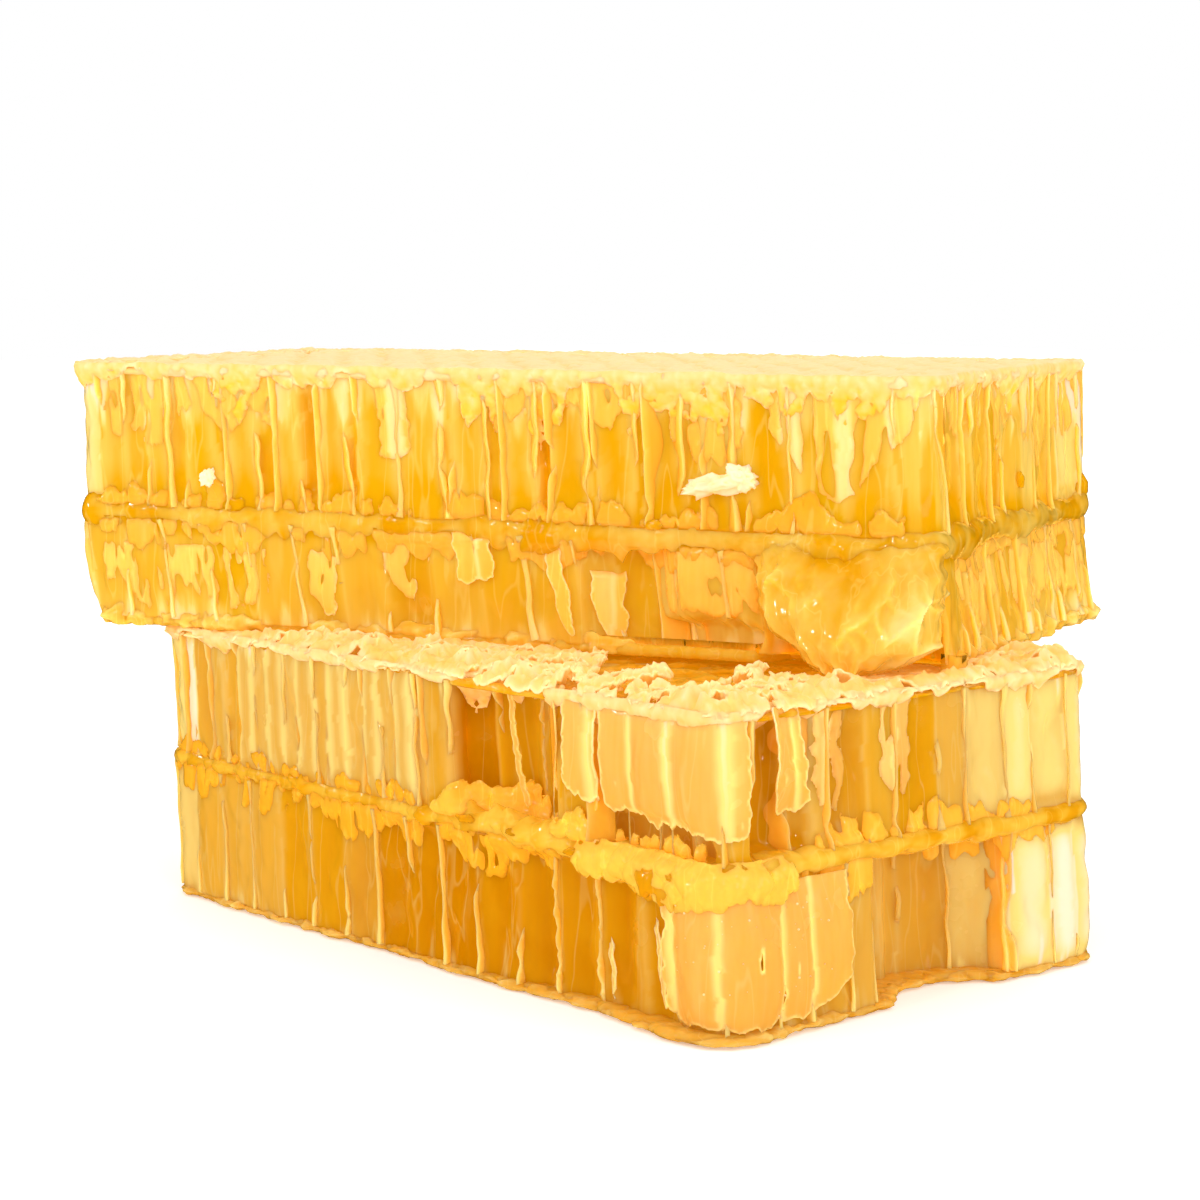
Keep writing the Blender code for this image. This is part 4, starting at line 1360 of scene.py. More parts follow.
# Each sheet follows the cut from one place to another, anticlockwise, by the slab's x and y in mm, and
# hangs from its top height. Reach is how far it hangs at even steps along it; gaps are slits (share
# along, half width); out is how far it stands off the cut at its top and at its foot.
sheets = [
    {
        "name": "corner_columns", "slab": lower, "layer": "up", "material": "lowerFilm",
        "from": (23.2, -25.3), "to": (43.3, -21.6), "top": 28.0,
        "reach": (8.0, 8.8, 9.2, 9.4, 9.9, 9.7, 10.3, 10.0), "ragged": 0.9, "out": (0.10, 0.05),
        "bulge": 0.95, "gaps": [(0.20, 0.45)], "pale": 0.75, "hug": 0.2, "holes": 0.9,
    },
    {
        "name": "corner_tubes", "slab": lower, "layer": "down", "material": "lowerFilm",
        "from": (35.6, -25.3), "to": (43.3, -10.0), "top": 13.4,
        "reach": (11.2, 12.2, 12.0, 12.4, 11.8, 12.2, 11.0, 8.5), "ragged": 0.5, "out": (0.0, 0.25),
        "bulge": 1.25, "gaps": [], "pale": 0.62, "hug": 0.1, "holes": 0.75,
    },
    {
        "name": "corner_apron", "slab": lower, "layer": "down", "material": "apron",
        "from": (24.0, -25.3), "to": (43.3, -16.5), "top": 15.4,
        "reach": (2.2, 3.0, 2.4, 3.6, 4.2, 5.6, 4.0, 3.2, 3.6, 2.4), "ragged": 1.0, "out": (0.9, 0.35),
        "bulge": 0.12, "gaps": [], "pale": 0.65, "hug": 0.25, "holes": 0.8, "thick": 0.6,
    },
    {
        "name": "front_teeth", "slab": lower, "layer": "up", "material": "apron",
        "from": (4.0, -25.3), "to": (40.0, -25.3), "top": 15.0, "rising": True,
        "reach": (1.2, 3.4, 2.6, 3.8, 2.0, 1.4, 3.2, 1.6, 1.2, 2.4, 1.2), "ragged": 1.2, "out": (0.5, 0.45),
        "bulge": 0.12, "gaps": [(0.38, 0.9), (0.72, 0.8)], "pale": 0.5, "hug": 0.5, "holes": 0.45, "thick": 0.3,
    },
    {
        "name": "left_teeth", "slab": lower, "layer": "up", "material": "apron",
        "from": (-42.0, -25.3), "to": (2.0, -25.3), "top": 15.0, "rising": True,
        "reach": (1.8, 2.6, 1.6, 3.0, 2.0, 1.6, 2.6, 1.6, 2.8, 1.8), "ragged": 1.3, "out": (0.3, 0.1),
        "bulge": 0.12, "gaps": [(0.3, 0.9), (0.66, 1.1)], "pale": 0.1, "hug": 0.94, "holes": 0.4, "thick": 0.3,
    },
    {
        "name": "left_apron", "slab": lower, "layer": "down", "material": "apron",
        "from": (-42.0, -25.3), "to": (22.0, -25.3), "top": 15.0,
        "reach": (3.0, 4.4, 2.4, 4.8, 3.0, 2.2, 5.0, 2.8, 3.6, 2.4, 5.2, 2.6, 3.4), "ragged": 1.5, "out": (0.3, 0.1),
        "bulge": 0.12, "gaps": [(0.25, 0.9), (0.7, 1.2)], "pale": 0.1, "hug": 0.94, "holes": 0.4, "thick": 0.3,
    },
    {
        "name": "right_teeth", "slab": lower, "layer": "up", "material": "apron",
        "from": (43.3, -14.0), "to": (43.3, 16.0), "top": 15.0, "rising": True,
        "reach": (1.6, 3.8, 2.0, 3.4, 2.6, 1.8, 2.4), "ragged": 1.3, "out": (0.3, 0.1),
        "bulge": 0.12, "gaps": [(0.4, 0.9)], "pale": 0.35, "hug": 0.94, "holes": 0.45, "thick": 0.3,
    },
    {
        "name": "right_apron", "slab": lower, "layer": "down", "material": "apron",
        "from": (43.3, -16.0), "to": (43.3, 20.0), "top": 15.0,
        "reach": (3.0, 5.0, 3.4, 2.4, 4.2, 2.6, 2.0), "ragged": 1.4, "out": (0.3, 0.1),
        "bulge": 0.12, "gaps": [(0.5, 0.9)], "pale": 0.35, "hug": 0.94, "holes": 0.45, "thick": 0.3,
    },
    {
        "name": "upper_teeth", "slab": upper, "layer": "up", "material": "light",
        "from": (-46.0, -25.8), "to": (46.0, -25.8), "top": 41.4, "rising": True,
        "reach": (1.6, 2.6, 1.6, 3.4, 2.0, 1.8, 3.0, 1.6, 3.8, 2.2, 1.8, 3.4, 2.0, 2.8, 1.6, 4.0, 1.8, 2.6),
        "ragged": 1.4, "out": (0.3, 0.1), "bulge": 0.12, "gaps": [(0.2, 1.4), (0.45, 1.2), (0.8, 1.5)],
        "pale": 0.15, "hug": 0.94, "holes": 0.4, "thick": 0.3,
    },
    {
        "name": "upper_apron", "slab": upper, "layer": "down", "material": "light",
        "from": (-46.0, -25.8), "to": (30.0, -25.8), "top": 41.0,
        "reach": (3.0, 4.2, 2.4, 3.6, 2.2, 4.6, 2.8, 3.4, 2.2, 4.4, 2.6, 3.8, 2.4, 3.0),
        "ragged": 1.4, "out": (0.3, 0.1), "bulge": 0.12, "gaps": [(0.3, 1.2), (0.62, 1.4)],
        "pale": 0.3, "hug": 0.94, "holes": 0.4, "thick": 0.3,
    },
    {
        "name": "upper_right_apron", "slab": upper, "layer": "down", "material": "light",
        "from": (47.8, -18.0), "to": (47.8, 24.0), "top": 41.0,
        "reach": (3.0, 4.6, 2.4, 3.8, 2.2, 4.8, 2.8),
        "ragged": 1.4, "out": (0.3, 0.1), "bulge": 0.12, "gaps": [(0.45, 1.2)],
        "pale": 0.45, "hug": 0.94, "holes": 0.4, "thick": 0.3,
    },
    {
        "name": "curved_film", "slab": lower, "layer": "up", "material": "lowerFilm",
        "from": (43.3, -19.6), "to": (43.3, -15.0), "top": 28.6,
        "reach": (5.5, 9.6, 9.3, 8.2), "ragged": 0.6, "out": (0.9, 0.0), "bulge": 0.9, "gaps": [],
        "pale": 0.75, "holes": 0.8, "over": 1.6,
    },
    {
        "name": "right_film", "slab": lower, "layer": "up", "material": "lowerFilm",
        "from": (43.3, -13.9), "to": (43.3, -8.2), "top": 28.6,
        "reach": (6.0, 9.8, 9.0, 10.4, 4.0), "ragged": 0.9, "out": (0.15, 0.10), "bulge": 0.3,
        "gaps": [(0.55, 0.25)], "pale": 0.7, "hug": 0.94, "holes": 0.55,
    },
    {
        "name": "right_window", "slab": lower, "layer": "up", "material": "lowerFilm",
        "from": (43.3, -5.0), "to": (43.3, 0.0), "top": 28.6,
        "reach": (7.5, 9.3, 9.5, 8.0), "ragged": 0.8, "out": (0.15, 0.0), "bulge": 0.4, "gaps": [],
        "pale": 0.8, "hug": 0.94, "holes": 0.6,
    },
    {
        "name": "torn_strand", "slab": lower, "layer": "up", "material": "lowerFilm",
        "from": (13.5, -23.0), "to": (14.9, -22.6), "top": 28.6,
        "reach": (11.6, 12.0, 11.4), "ragged": 0.4, "out": (1.6, 0.6), "bulge": 0.5, "gaps": [],
        "pale": 0.6, "holes": 0.9, "over": 0.5,
    },
    {
        "name": "broad_drape", "slab": upper, "layer": "up", "material": "upperFilm",
        "from": (31.5, -25.8), "to": (46.6, -25.0), "top": 55.9,
        "reach": (4.6, 7.0, 9.4, 10.9, 11.4, 8.6, 5.4, 4.6), "ragged": 0.9, "out": (0.30, 0.05),
        "bulge": 0.2, "gaps": [(0.30, 0.5)], "pale": 0.55, "hug": 0.94, "holes": 0.50,
    },
    {
        "name": "window_drape", "slab": upper, "layer": "up", "material": "upperFilm",
        "from": (-10.7, -25.8), "to": (-6.2, -25.8), "top": 55.9,
        "reach": (9.0, 8.8, 8.6, 7.6), "ragged": 0.5, "out": (0.25, 0.05), "bulge": 0.2, "gaps": [],
        "pale": 0.6, "hug": 0.94, "holes": 0.75,
    },
    {
        "name": "left_drape", "slab": upper, "layer": "up", "material": "upperFilm",
        "from": (-44.0, -25.8), "to": (-22.0, -25.8), "top": 55.9,
        "reach": (9.0, 6.0, 8.5, 5.0, 3.5, 7.5, 4.0, 6.5), "ragged": 1.6, "out": (0.25, 0.0),
        "bulge": 0.1, "gaps": [(0.4, 0.5)], "pale": 0.6, "hug": 0.94, "holes": 0.35,
    },
    {
        "name": "middle_drape", "slab": upper, "layer": "up", "material": "upperFilm",
        "from": (0.0, -25.8), "to": (30.0, -25.8), "top": 55.9,
        "reach": (4.0, 5.5, 2.0, 3.0, 4.8, 2.0, 7.0, 8.5, 6.0), "ragged": 1.5, "out": (0.25, -0.1),
        "bulge": 0.1, "gaps": [(0.62, 0.6)], "pale": 0.5, "hug": 0.94, "holes": 0.35,
    },
    {
        "name": "right_drape", "slab": upper, "layer": "up", "material": "upperFilm",
        "from": (47.8, -21.0), "to": (47.8, 24.0), "top": 55.9,
        "reach": (3.0, 6.0, 2.0, 7.5, 4.0, 10.5, 5.0, 8.0, 3.0), "ragged": 1.8, "out": (0.25, 0.0),
        "bulge": 0.1, "gaps": [(0.15, 0.8), (0.6, 0.7)], "pale": 0.55, "hug": 0.94, "holes": 0.35,
    },
    {
        "name": "streaked_flake", "slab": upper, "layer": "down", "material": "upperFilm",
        "from": (-20.6, -25.8), "to": (-15.6, -25.8), "top": 38.6,
        "reach": (4.6, 6.2, 7.3, 7.8), "ragged": 0.5, "out": (-0.3, 0.45), "bulge": 0.2, "gaps": [],
        "pale": 0.75, "hug": 0.94, "holes": 0.5, "over": -1.5,
    },
    {
        "name": "hooked_flake", "slab": upper, "layer": "down", "material": "upperFilm",
        "from": (-11.6, -25.8), "to": (-6.6, -25.8), "top": 40.6,
        "reach": (6.6, 7.4, 7.8, 6.8), "ragged": 0.5, "out": (-0.1, 0.5), "bulge": 0.35, "gaps": [],
        "pale": 0.75, "hug": 0.94, "holes": 0.55, "over": -1.2,
    },
    {
        "name": "torn_window", "slab": upper, "layer": "down", "material": "upperFilm",
        "from": (-2.8, -25.8), "to": (1.9, -25.8), "top": 41.0,
        "reach": (5.2, 5.6, 5.2, 5.4, 4.6), "ragged": 0.3, "out": (0.3, 0.35), "bulge": 0.3, "gaps": [],
        "pale": 0.55, "hug": 0.7, "holes": 0.85,
    },
    {
        "name": "long_flake", "slab": upper, "layer": "down", "material": "upperFilm",
        "from": (7.2, -25.8), "to": (9.6, -25.8), "top": 40.2,
        "reach": (4.0, 9.0, 9.4, 8.2), "ragged": 0.4, "out": (0.0, 0.5), "bulge": 0.5, "gaps": [],
        "pale": 0.6, "hug": 0.7, "holes": 0.7, "over": 0.8,
    },
    {
        "name": "curled_flake", "slab": upper, "layer": "down", "material": "upperFilm",
        "from": (12.6, -25.8), "to": (15.8, -25.8), "top": 37.6,
        "reach": (2.0, 5.4, 7.2, 7.3, 6.4), "ragged": 0.35, "out": (-0.2, 0.7), "bulge": 0.8, "gaps": [],
        "pale": 0.6, "hug": 0.7, "holes": 0.8, "over": -0.8,
    },
    {
        "name": "streaked_face", "slab": upper, "layer": "down", "material": "upperFilm",
        "from": (18.0, -25.8), "to": (30.4, -25.8), "top": 40.5,
        "reach": (8.4, 7.6, 7.0, 7.6, 7.0, 6.6), "ragged": 0.9, "out": (0.1, 0.3), "bulge": 0.1,
        "gaps": [], "pale": 0.65, "hug": 0.94, "holes": 0.45,
    },
    {
        "name": "left_face", "slab": upper, "layer": "down", "material": "upperFilm",
        "from": (-46.0, -25.8), "to": (-24.0, -25.8), "top": 38.8,
        "reach": (5.0, 7.0, 8.0, 6.0, 7.6, 8.2, 6.0), "ragged": 1.5, "out": (0.0, 0.25), "bulge": 0.1,
        "gaps": [(0.3, 0.5), (0.7, 0.4)], "pale": 0.75, "hug": 0.94, "holes": 0.25,
    },
    {
        "name": "right_face", "slab": upper, "layer": "down", "material": "upperFilm",
        "from": (47.8, -18.0), "to": (47.8, 22.0), "top": 39.8,
        "reach": (4.0, 8.5, 5.0, 8.0, 6.0, 7.5, 9.0), "ragged": 1.5, "out": (0.1, 0.3), "bulge": 0.1,
        "gaps": [(0.35, 0.8)], "pale": 0.75, "hug": 0.94, "holes": 0.35,
    },
    {
        "name": "first_fin", "slab": lower, "layer": "down", "material": "lowerFilm",
        "from": (31.8, -25.3), "to": (33.0, -25.3), "top": 11.8,
        "reach": (4.0, 9.8, 9.6), "ragged": 0.5, "out": (-1.2, 0.5), "bulge": 0.0, "gaps": [],
        "pale": 0.8, "holes": 0.9, "over": 3.2,
    },
    {
        "name": "second_fin", "slab": lower, "layer": "down", "material": "lowerFilm",
        "from": (26.6, -25.3), "to": (27.8, -25.3), "top": 8.2,
        "reach": (3.6, 6.6, 6.2), "ragged": 0.5, "out": (-0.9, 0.5), "bulge": 0.0, "gaps": [],
        "pale": 0.8, "holes": 0.9, "over": 1.6,
    },
]


def addSheet(spec, seed):
    # one sheet of wax along the cut; over is how far it slants along the cut from its top to its foot
    slab, layer = spec["slab"], spec["layer"]
    step = 0.24 * mm
    points, normals = cutLoop(slab, layer, step)
    ends = [int(np.argmin(np.hypot(*(points - np.array(spec[key]) * mm).T))) for key in ("from", "to")]
    spots = (ends[0] + np.arange((ends[1] - ends[0]) % len(points) + 1)) % len(points)
    points, normals = points[spots], normals[spots]
    tangent = np.column_stack([-normals[:, 1], normals[:, 0]])
    count = len(spots)
    along = np.arange(count) * step / mm
    share = np.linspace(0, 1, count)
    reach = np.interp(share, np.linspace(0, 1, len(spec["reach"])), spec["reach"])
    hang = np.arange(-0.3, max(spec["reach"]) + 1.6, 0.28)[:, None]
    coarse = layeredNoise(along / 1.7, seed * 1.3, 0.0, 141, 2)
    fine = layeredNoise(along / 0.55, seed * 2.3, 0.0, 142, 3)
    torn = spec["material"] in ("apron", "light")
    keep = reach + spec["ragged"] * (0.9 * coarse + (0.12 if torn else 0.35) * fine) - hang
    side = layeredNoise(hang / 1.5, seed * 0.7, 0.0, 143, 3)
    keep = np.minimum(keep, 1.8 * (along[None, :] - 0.35 - 0.45 * side))
    keep = np.minimum(keep, 1.8 * (along[-1] - along[None, :] - 0.35 + 0.45 * side))
    for middle, half in spec["gaps"]:
        slit = half * (0.6 + 0.5 * hang / max(spec["reach"])) + 0.25 * side
        keep = np.minimum(keep, (np.abs(along[None, :] - middle * along[-1]) - slit) * 1.5)
    holes = layeredNoise(along[None, :] / 1.5, hang / 5.5, seed, 144, 2)
    keep = np.minimum(keep, (spec["holes"] + 0.12 - holes) * 1.6)
    inner = points - normals * 0.5 * mm
    _, _, _, _, wall = cellAt(inner[:, 0], inner[:, 1], layer)
    arch = np.sqrt(np.clip(1 - (1 - np.clip(wall / (1.7 * mm), 0, 1)) ** 2, 0, 1))
    arch = smoothAlong(arch, 0.8, 0, False)[None, :]
    ribs = smoothAlong(np.exp(-(wall / (0.30 * mm)) ** 2), 0.5, 0, False)
    sway = np.rint(1.2 * layeredNoise(along[None, :] / 4.0, hang / 3.5, seed, 147, 2)).astype(int)
    spot = np.clip(np.arange(count)[None, :] + sway, 0, count - 1)
    arch, ribs = arch[0][spot], ribs[spot]
    fall = np.clip(hang / max(spec["reach"]), 0, 1)
    crumple = 0.10 * layeredNoise(along[None, :] / 1.4, hang / 4.0, seed, 145, 2)
    if torn:
        crumple = 0.45 * layeredNoise(along[None, :] / 1.3, hang / 1.3, seed, 148, 3)
    topOut, footOut = spec["out"]
    out = topOut + (footOut - topOut) * fall ** 1.6 + spec["bulge"] * arch * (0.35 + 0.65 * np.sin(math.pi * fall))
    depth = recesses[slab["name"], layer]
    root, mouth = layerHeights(slab, layer)
    rise = 1 if spec.get("rising") else -1
    level = np.clip((spec["top"] + rise * hang[:, 0]) * mm - root, -abs(mouth - root), abs(mouth - root))
    level = np.round(np.abs(level) / abs(mouth - root) * (depth.shape[0] - 1)).astype(int)
    place = np.round(spots * step / comb["step"]).astype(int) % depth.shape[1]
    recess = smoothAlong(depth[level][:, place] / mm, 2.0, 1, False)
    out = out + crumple - 0.45 * spec["bulge"] * fall ** 4
    hug = spec.get("hug", 0.0)
    out = out * (1 - hug) + hug * (0.08 - recess)
    out = out - 0.35 * (hug > 0.9) * (1 - smoothStep(0.0, 0.9, keep))
    if slab is upper and layer == "down":
        out = out - 0.9 * (1 - smoothStep(-0.3, 1.2, hang + 0.4 * coarse[None, :]))
    if torn:
        out = out - 1.0 * (1 - smoothStep(-0.3, 0.9, hang)) - 0.4 * (1 - smoothStep(0.0, 0.7, keep))
    slant = spec.get("over", 0.0) * fall ** 1.4 + 0.15 * softNoise(hang / 2.0, seed * 0.3, 0.0, 146)
    height = spec["top"] + rise * hang + 0 * out
    fromMidrib = height * mm - slab["zMidribTop"] if layer == "up" else slab["zMidrib"] - height * mm
    x = points[None, :, 0] + (normals[None, :, 0] * out + tangent[None, :, 0] * slant) * mm
    y = points[None, :, 1] + (normals[None, :, 1] * out + tangent[None, :, 1] * slant) * mm
    world = toWorld(slab, x + layerShift(slab, layer, fromMidrib), y, height * mm).reshape(-1, 3)
    rows, columns = out.shape
    quads = gridQuads(rows, columns, False)[:, ::rise]
    values = {"ribs": (ribs + 0 * out).ravel(), "fall": (fall + 0 * out).ravel()}
    sheet, values, kept = clipSheet(world, keep.ravel() * mm, values, quadsToTriangles(quads))
    # edge makes torn rims paler, thin wax with a painted highlight line, and on arched sheets paints the ribs between
    # columns as painted highlights along the creases.
    ribAndLight = values["ribs"]
    rim = 1 - smoothStep(0.05 * mm, 0.34 * mm, values["keep"])
    values["edge"] = np.clip(rim + ribAndLight * (spec["bulge"] > 0.15), 0, 1)
    body = spec.get("thick", 0.0) * (1 - 0.8 * rim)
    thick = (0.10 + body + 0.08 * rim + 0.18 * ribAndLight * (spec["bulge"] > 0.15)) * mm
    return thicken(sheet, kept, thick, values)


def addSheets():
    piles = {"upperFilm": Pile("deep", "pale", "chance"), "lowerFilm": Pile("deep", "pale", "chance"),
             "apron": Pile("deep", "pale", "chance"), "light": Pile("deep", "pale", "chance")}
    for number, spec in enumerate(sheets):
        points, kept, values = addSheet(spec, number + 3)
        sharp = 0.35 if "thick" in spec else 0.8
        # edge carries painted highlight lines at the rims and ribs.
        pale = spec["pale"] + 0.2 * (1 - values["fall"]) + sharp * values["edge"]
        piles[spec["material"]].add(points, kept, deep=0.25 * (1 - values["edge"]), pale=pale, chance=0.5)
    piles["upperFilm"].build("upper_films", finishes["upperWax"], slot="capping_wax")
    piles["lowerFilm"].build("lower_films", finishes["lowerWax"], slot="capping_wax")
    piles["light"].build("upper_torn_midrib_wax", finishes["upperPool"], slot="wet_midrib_wax")
    piles["apron"].build("torn_midrib_wax", finishes["torn"], slot="wet_midrib_wax")


addSheets()
print("films made")


def roundBlob(centre, sizes, rings=12, uneven=0.0, seed=1, rough=1.2):
    # a closed rounded lump with unevenness as a share of its size
    around = rings * 2
    lift = np.linspace(-math.pi / 2, math.pi / 2, rings + 1)[1:-1][:, None]
    turn = np.linspace(0, 2 * math.pi, around, endpoint=False)[None, :]
    ball = np.stack([np.cos(lift) * np.cos(turn), np.cos(lift) * np.sin(turn), np.sin(lift) + 0 * turn], -1)
    ball = np.vstack([ball.reshape(-1, 3), [[0, 0, -1], [0, 0, 1]]])
    swell = 1 + uneven * layeredNoise(ball[:, 0] * rough, ball[:, 1] * rough, ball[:, 2] * rough, seed, 3)
    points = ball * swell[:, None] * np.array(sizes) + np.array(centre)
    count = len(ball) - 2
    quads = quadsToTriangles(gridQuads(rings - 1, around, True))
    spot = np.arange(around)
    bottom = np.stack([(spot + 1) % around, spot, np.full(around, count)], -1)
    lastRow = count - around
    top = np.stack([lastRow + spot, lastRow + (spot + 1) % around, np.full(around, count + 1)], -1)
    return points, np.vstack([quads, bottom, top]), swell


# ---------- the lump that has run down at the upper slab's front corner

# Its outline on the front from the midrib down, in mm: height, left end, right end and how far its front
# stands in the slab's y. Bulges are lumps on it: x, z, half width, half height and how far each stands.
runLook = {
    "outline": [
        (42.2, 31.0, 47.6, -25.2), (41.2, 29.4, 48.4, -26.3), (39.6, 29.8, 48.7, -27.6), (38.0, 30.6, 48.9, -29.2), (36.2, 31.2, 48.9, -30.6),
        (34.6, 31.8, 48.7, -31.5), (33.2, 33.0, 48.4, -32.0), (31.8, 34.6, 47.6, -32.1), (30.6, 36.4, 46.0, -31.7),
        (29.6, 38.4, 44.2, -31.0), (28.9, 40.4, 43.0, -29.8),
    ],
    "back": -20.5,
    "bulges": [
        (40.2, 33.4, 3.6, 4.2, 1.1), (46.9, 34.9, 0.9, 3.4, 2.0), (38.5, 40.2, 3.0, 1.4, -1.6), (34.6, 36.4, 1.5, 3.4, 0.7),
        (43.6, 37.4, 1.6, 2.2, 0.6), (37.6, 37.8, 1.3, 2.4, 0.5), (44.4, 32.2, 1.2, 2.4, 0.5),
        (36.9, 31.8, 0.9, 2.6, -0.6), (45.4, 36.0, 0.5, 3.4, -0.7), (32.8, 35.6, 0.5, 3.0, -0.5),
    ],
}


def addRun(slab, material):
    look = runLook
    rows, columns = 70, 180
    outline = np.array(look["outline"])[::-1]
    height = np.linspace(outline[-1, 0], outline[0, 0], rows)
    left, right, front = (np.interp(height, outline[:, 0], outline[:, k]) for k in (1, 2, 3))
    left = left + 0.8 * layeredNoise(height / 1.6, 3.3, 0.0, 150, 3)
    right = right + 0.6 * layeredNoise(height / 1.6, 7.3, 0.0, 150, 3)
    left, right, front = (smoothAlong(value, 0.8, 0, False)[:, None] for value in (left, right, front))
    height = height[:, None]
    angle = np.linspace(0, 2 * math.pi, columns, endpoint=False)[None, :]
    depth = (look["back"] - front) / 2
    bluntX = np.sign(np.cos(angle)) * np.abs(np.cos(angle)) ** 0.80
    bluntY = np.sign(np.sin(angle)) * np.abs(np.sin(angle)) ** 0.80
    x = (left + right) / 2 + (right - left) / 2 * bluntX
    y = (front + look["back"]) / 2 + depth * bluntY
    low = smoothStep(33.5, 29.5, height)
    swell = np.zeros(x.shape)
    for bulgeX, bulgeZ, halfX, halfZ, amount in look["bulges"]:
        swell += amount * np.exp(-((x - bulgeX) / halfX) ** 2 - ((height - bulgeZ) / halfZ) ** 2)
    swell = swell * (np.sin(angle) < 0.2)
    swell += 0.40 * layeredNoise(x / 2.6 + height / 14, height / 9.0, y / 6.0, 151, 2)
    fine = layeredNoise(x / 0.9, height / 4.0, y / 2.0, 152, 3)
    across = (x - left) / np.maximum(right - left, 1.0)
    twist = 0.35 * layeredNoise(height / 5.0, across * 2.0, 0.0, 154, 2)
    pleats = 1 - np.abs(np.sin(math.pi * (across * 4.3 + 1.6 * twist + 1.1 * (38 - height) / 10)))
    small = 1 - np.abs(np.sin(math.pi * (across * 9.3 - 2.5 * twist - 1.3 * (38 - height) / 10)))
    loose = smoothStep(41.0, 37.5, height) * (0.5 + 0.8 * layeredNoise(across * 3.0, height / 6.0, 0.0, 155, 2))
    folds = np.clip(loose, 0, 1.3) * (1.5 * pleats ** 2.2 + 0.6 * small ** 3)
    swell += folds + 0.05 * fine
    outX, outY = np.cos(angle), np.sin(angle)
    z = height - 0.5 * low * softNoise(x / 1.6, y / 1.6, 0.0, 153) + 0.1 * fine
    world = toWorld(slab, (x + outX * swell) * mm, (y + outY * swell) * mm, np.maximum(z, 28.5) * mm)
    pile = Pile("deep", "pale", "chance")
    patchy = layeredNoise(x / 5.0, height / 5.0, 0.0, 156, 2)
    drape = np.exp(-((x - 46.6) / 1.8) ** 2 - ((height - 35.5) / 3.6) ** 2)
    basin = np.exp(-((x - 38.5) / 3.2) ** 2 - ((height - 40.2) / 1.6) ** 2)
    # Paler on the fold crests, a painted highlight; paler toward the foot and on the drape, darker in the basin.
    bright = 0.45 + 0.45 * low + 0.55 * folds + 0.4 * patchy + 0.5 * drape - 0.9 * basin + 0.2 * fine
    dark = np.clip(0.20 + 0.6 * basin - 0.35 * folds - 0.3 * patchy, 0, 1)
    pile.add(world[::-1].reshape(-1, 3), gridQuads(rows, columns, True), deep=dark[::-1].ravel(),
             pale=np.clip(bright, 0, 1.25)[::-1].ravel(), chance=0.5)
    last = (rows - 1) * columns
    pile.addLoose([list(range(columns))[::-1], list(range(last, last + columns))])
    return pile.build("run_down_wax", material, ["upper_corner_run"], "capping_wax")


addRun(upper, finishes["upperPool"])
print("run made")


# ---------- blobs: pooled honey, drops, flakes, bubbles and crumbs


# Pooled honey: slab, x, y, z and half sizes, all in mm, with y on or in front of the cut.
pools = [
    (upper, 44.6, -25.4, 41.2, 1.0, 0.7, 0.7),
    (upper, 19.6, -25.7, 42.0, 1.1, 0.5, 0.5),
    (upper, 12.4, -25.6, 42.2, 0.8, 0.4, 0.5),
    (upper, -28.2, -25.4, 42.4, 1.5, 0.6, 1.2),
    (upper, -46.9, -22.0, 41.0, 1.2, 1.8, 2.0),
    (upper, 47.4, 22.8, 43.2, 0.9, 1.7, 2.0),
    (upper, 47.6, 2.0, 45.4, 0.4, 0.7, 0.8),
    (lower, 9.4, -25.9, 15.3, 1.2, 0.6, 0.4),
    (lower, 16.2, -25.8, 15.0, 0.9, 0.5, 0.4),
    (lower, 24.4, -25.8, 14.4, 0.8, 0.5, 0.4),
]


def addPools(slab, material, name, slot):
    pile = Pile("deep", "pale", "chance")
    for number, (owner, x, y, z, halfX, halfY, halfZ) in enumerate(pools):
        if owner is not slab:
            continue
        points, kept, swell = roundBlob((x, y, z), (halfX, halfY, halfZ), 14, 0.30, 160 + number)
        world = toWorld(slab, points[:, 0] * mm, points[:, 1] * mm, points[:, 2] * mm)
        pile.add(world, kept, deep=0.35, pale=0.0, chance=0.5)
    pile.build(name, material, slot=slot)


addPools(upper, finishes["upperPool"], "upper_pools", "light_honey")
addPools(lower, finishes["lowerPool"], "lower_pools", "amber_honey")


def addFlake(material):
    # the pale crumpled flake in a window of the upper slab, and a few smaller ones
    pile = Pile("edge", "pale")
    flakes = [
        (26.6, -26.0, 46.2, 3.3, 0.7, 0.95, 12), (29.0, -26.0, 46.9, 1.5, 0.8, 0.9, -20),
        (-31.0, -25.9, 45.0, 0.9, 0.5, 0.8, 30), (37.5, -26.2, 39.0, 0.5, 0.4, 0.9, 10),
    ]
    for number, (x, y, z, halfX, halfY, halfZ, tilt) in enumerate(flakes):
        points, kept, swell = roundBlob((0, 0, 0), (halfX, halfY, halfZ), 16, 0.62, 190 + number, 2.0)
        c, s = math.cos(math.radians(tilt)), math.sin(math.radians(tilt))
        turned = np.stack([points[:, 0] * c - points[:, 2] * s, points[:, 1], points[:, 0] * s + points[:, 2] * c], -1)
        world = toWorld(upper, (turned[:, 0] + x) * mm, (turned[:, 1] + y) * mm, (turned[:, 2] + z) * mm)
        pile.add(world, kept, edge=0.3, pale=np.clip(0.5 + 1.2 * (swell - 1), 0, 1))
    pile.build("upper_flakes", material, slot="capping_wax")


addFlake(finishes["flake"])


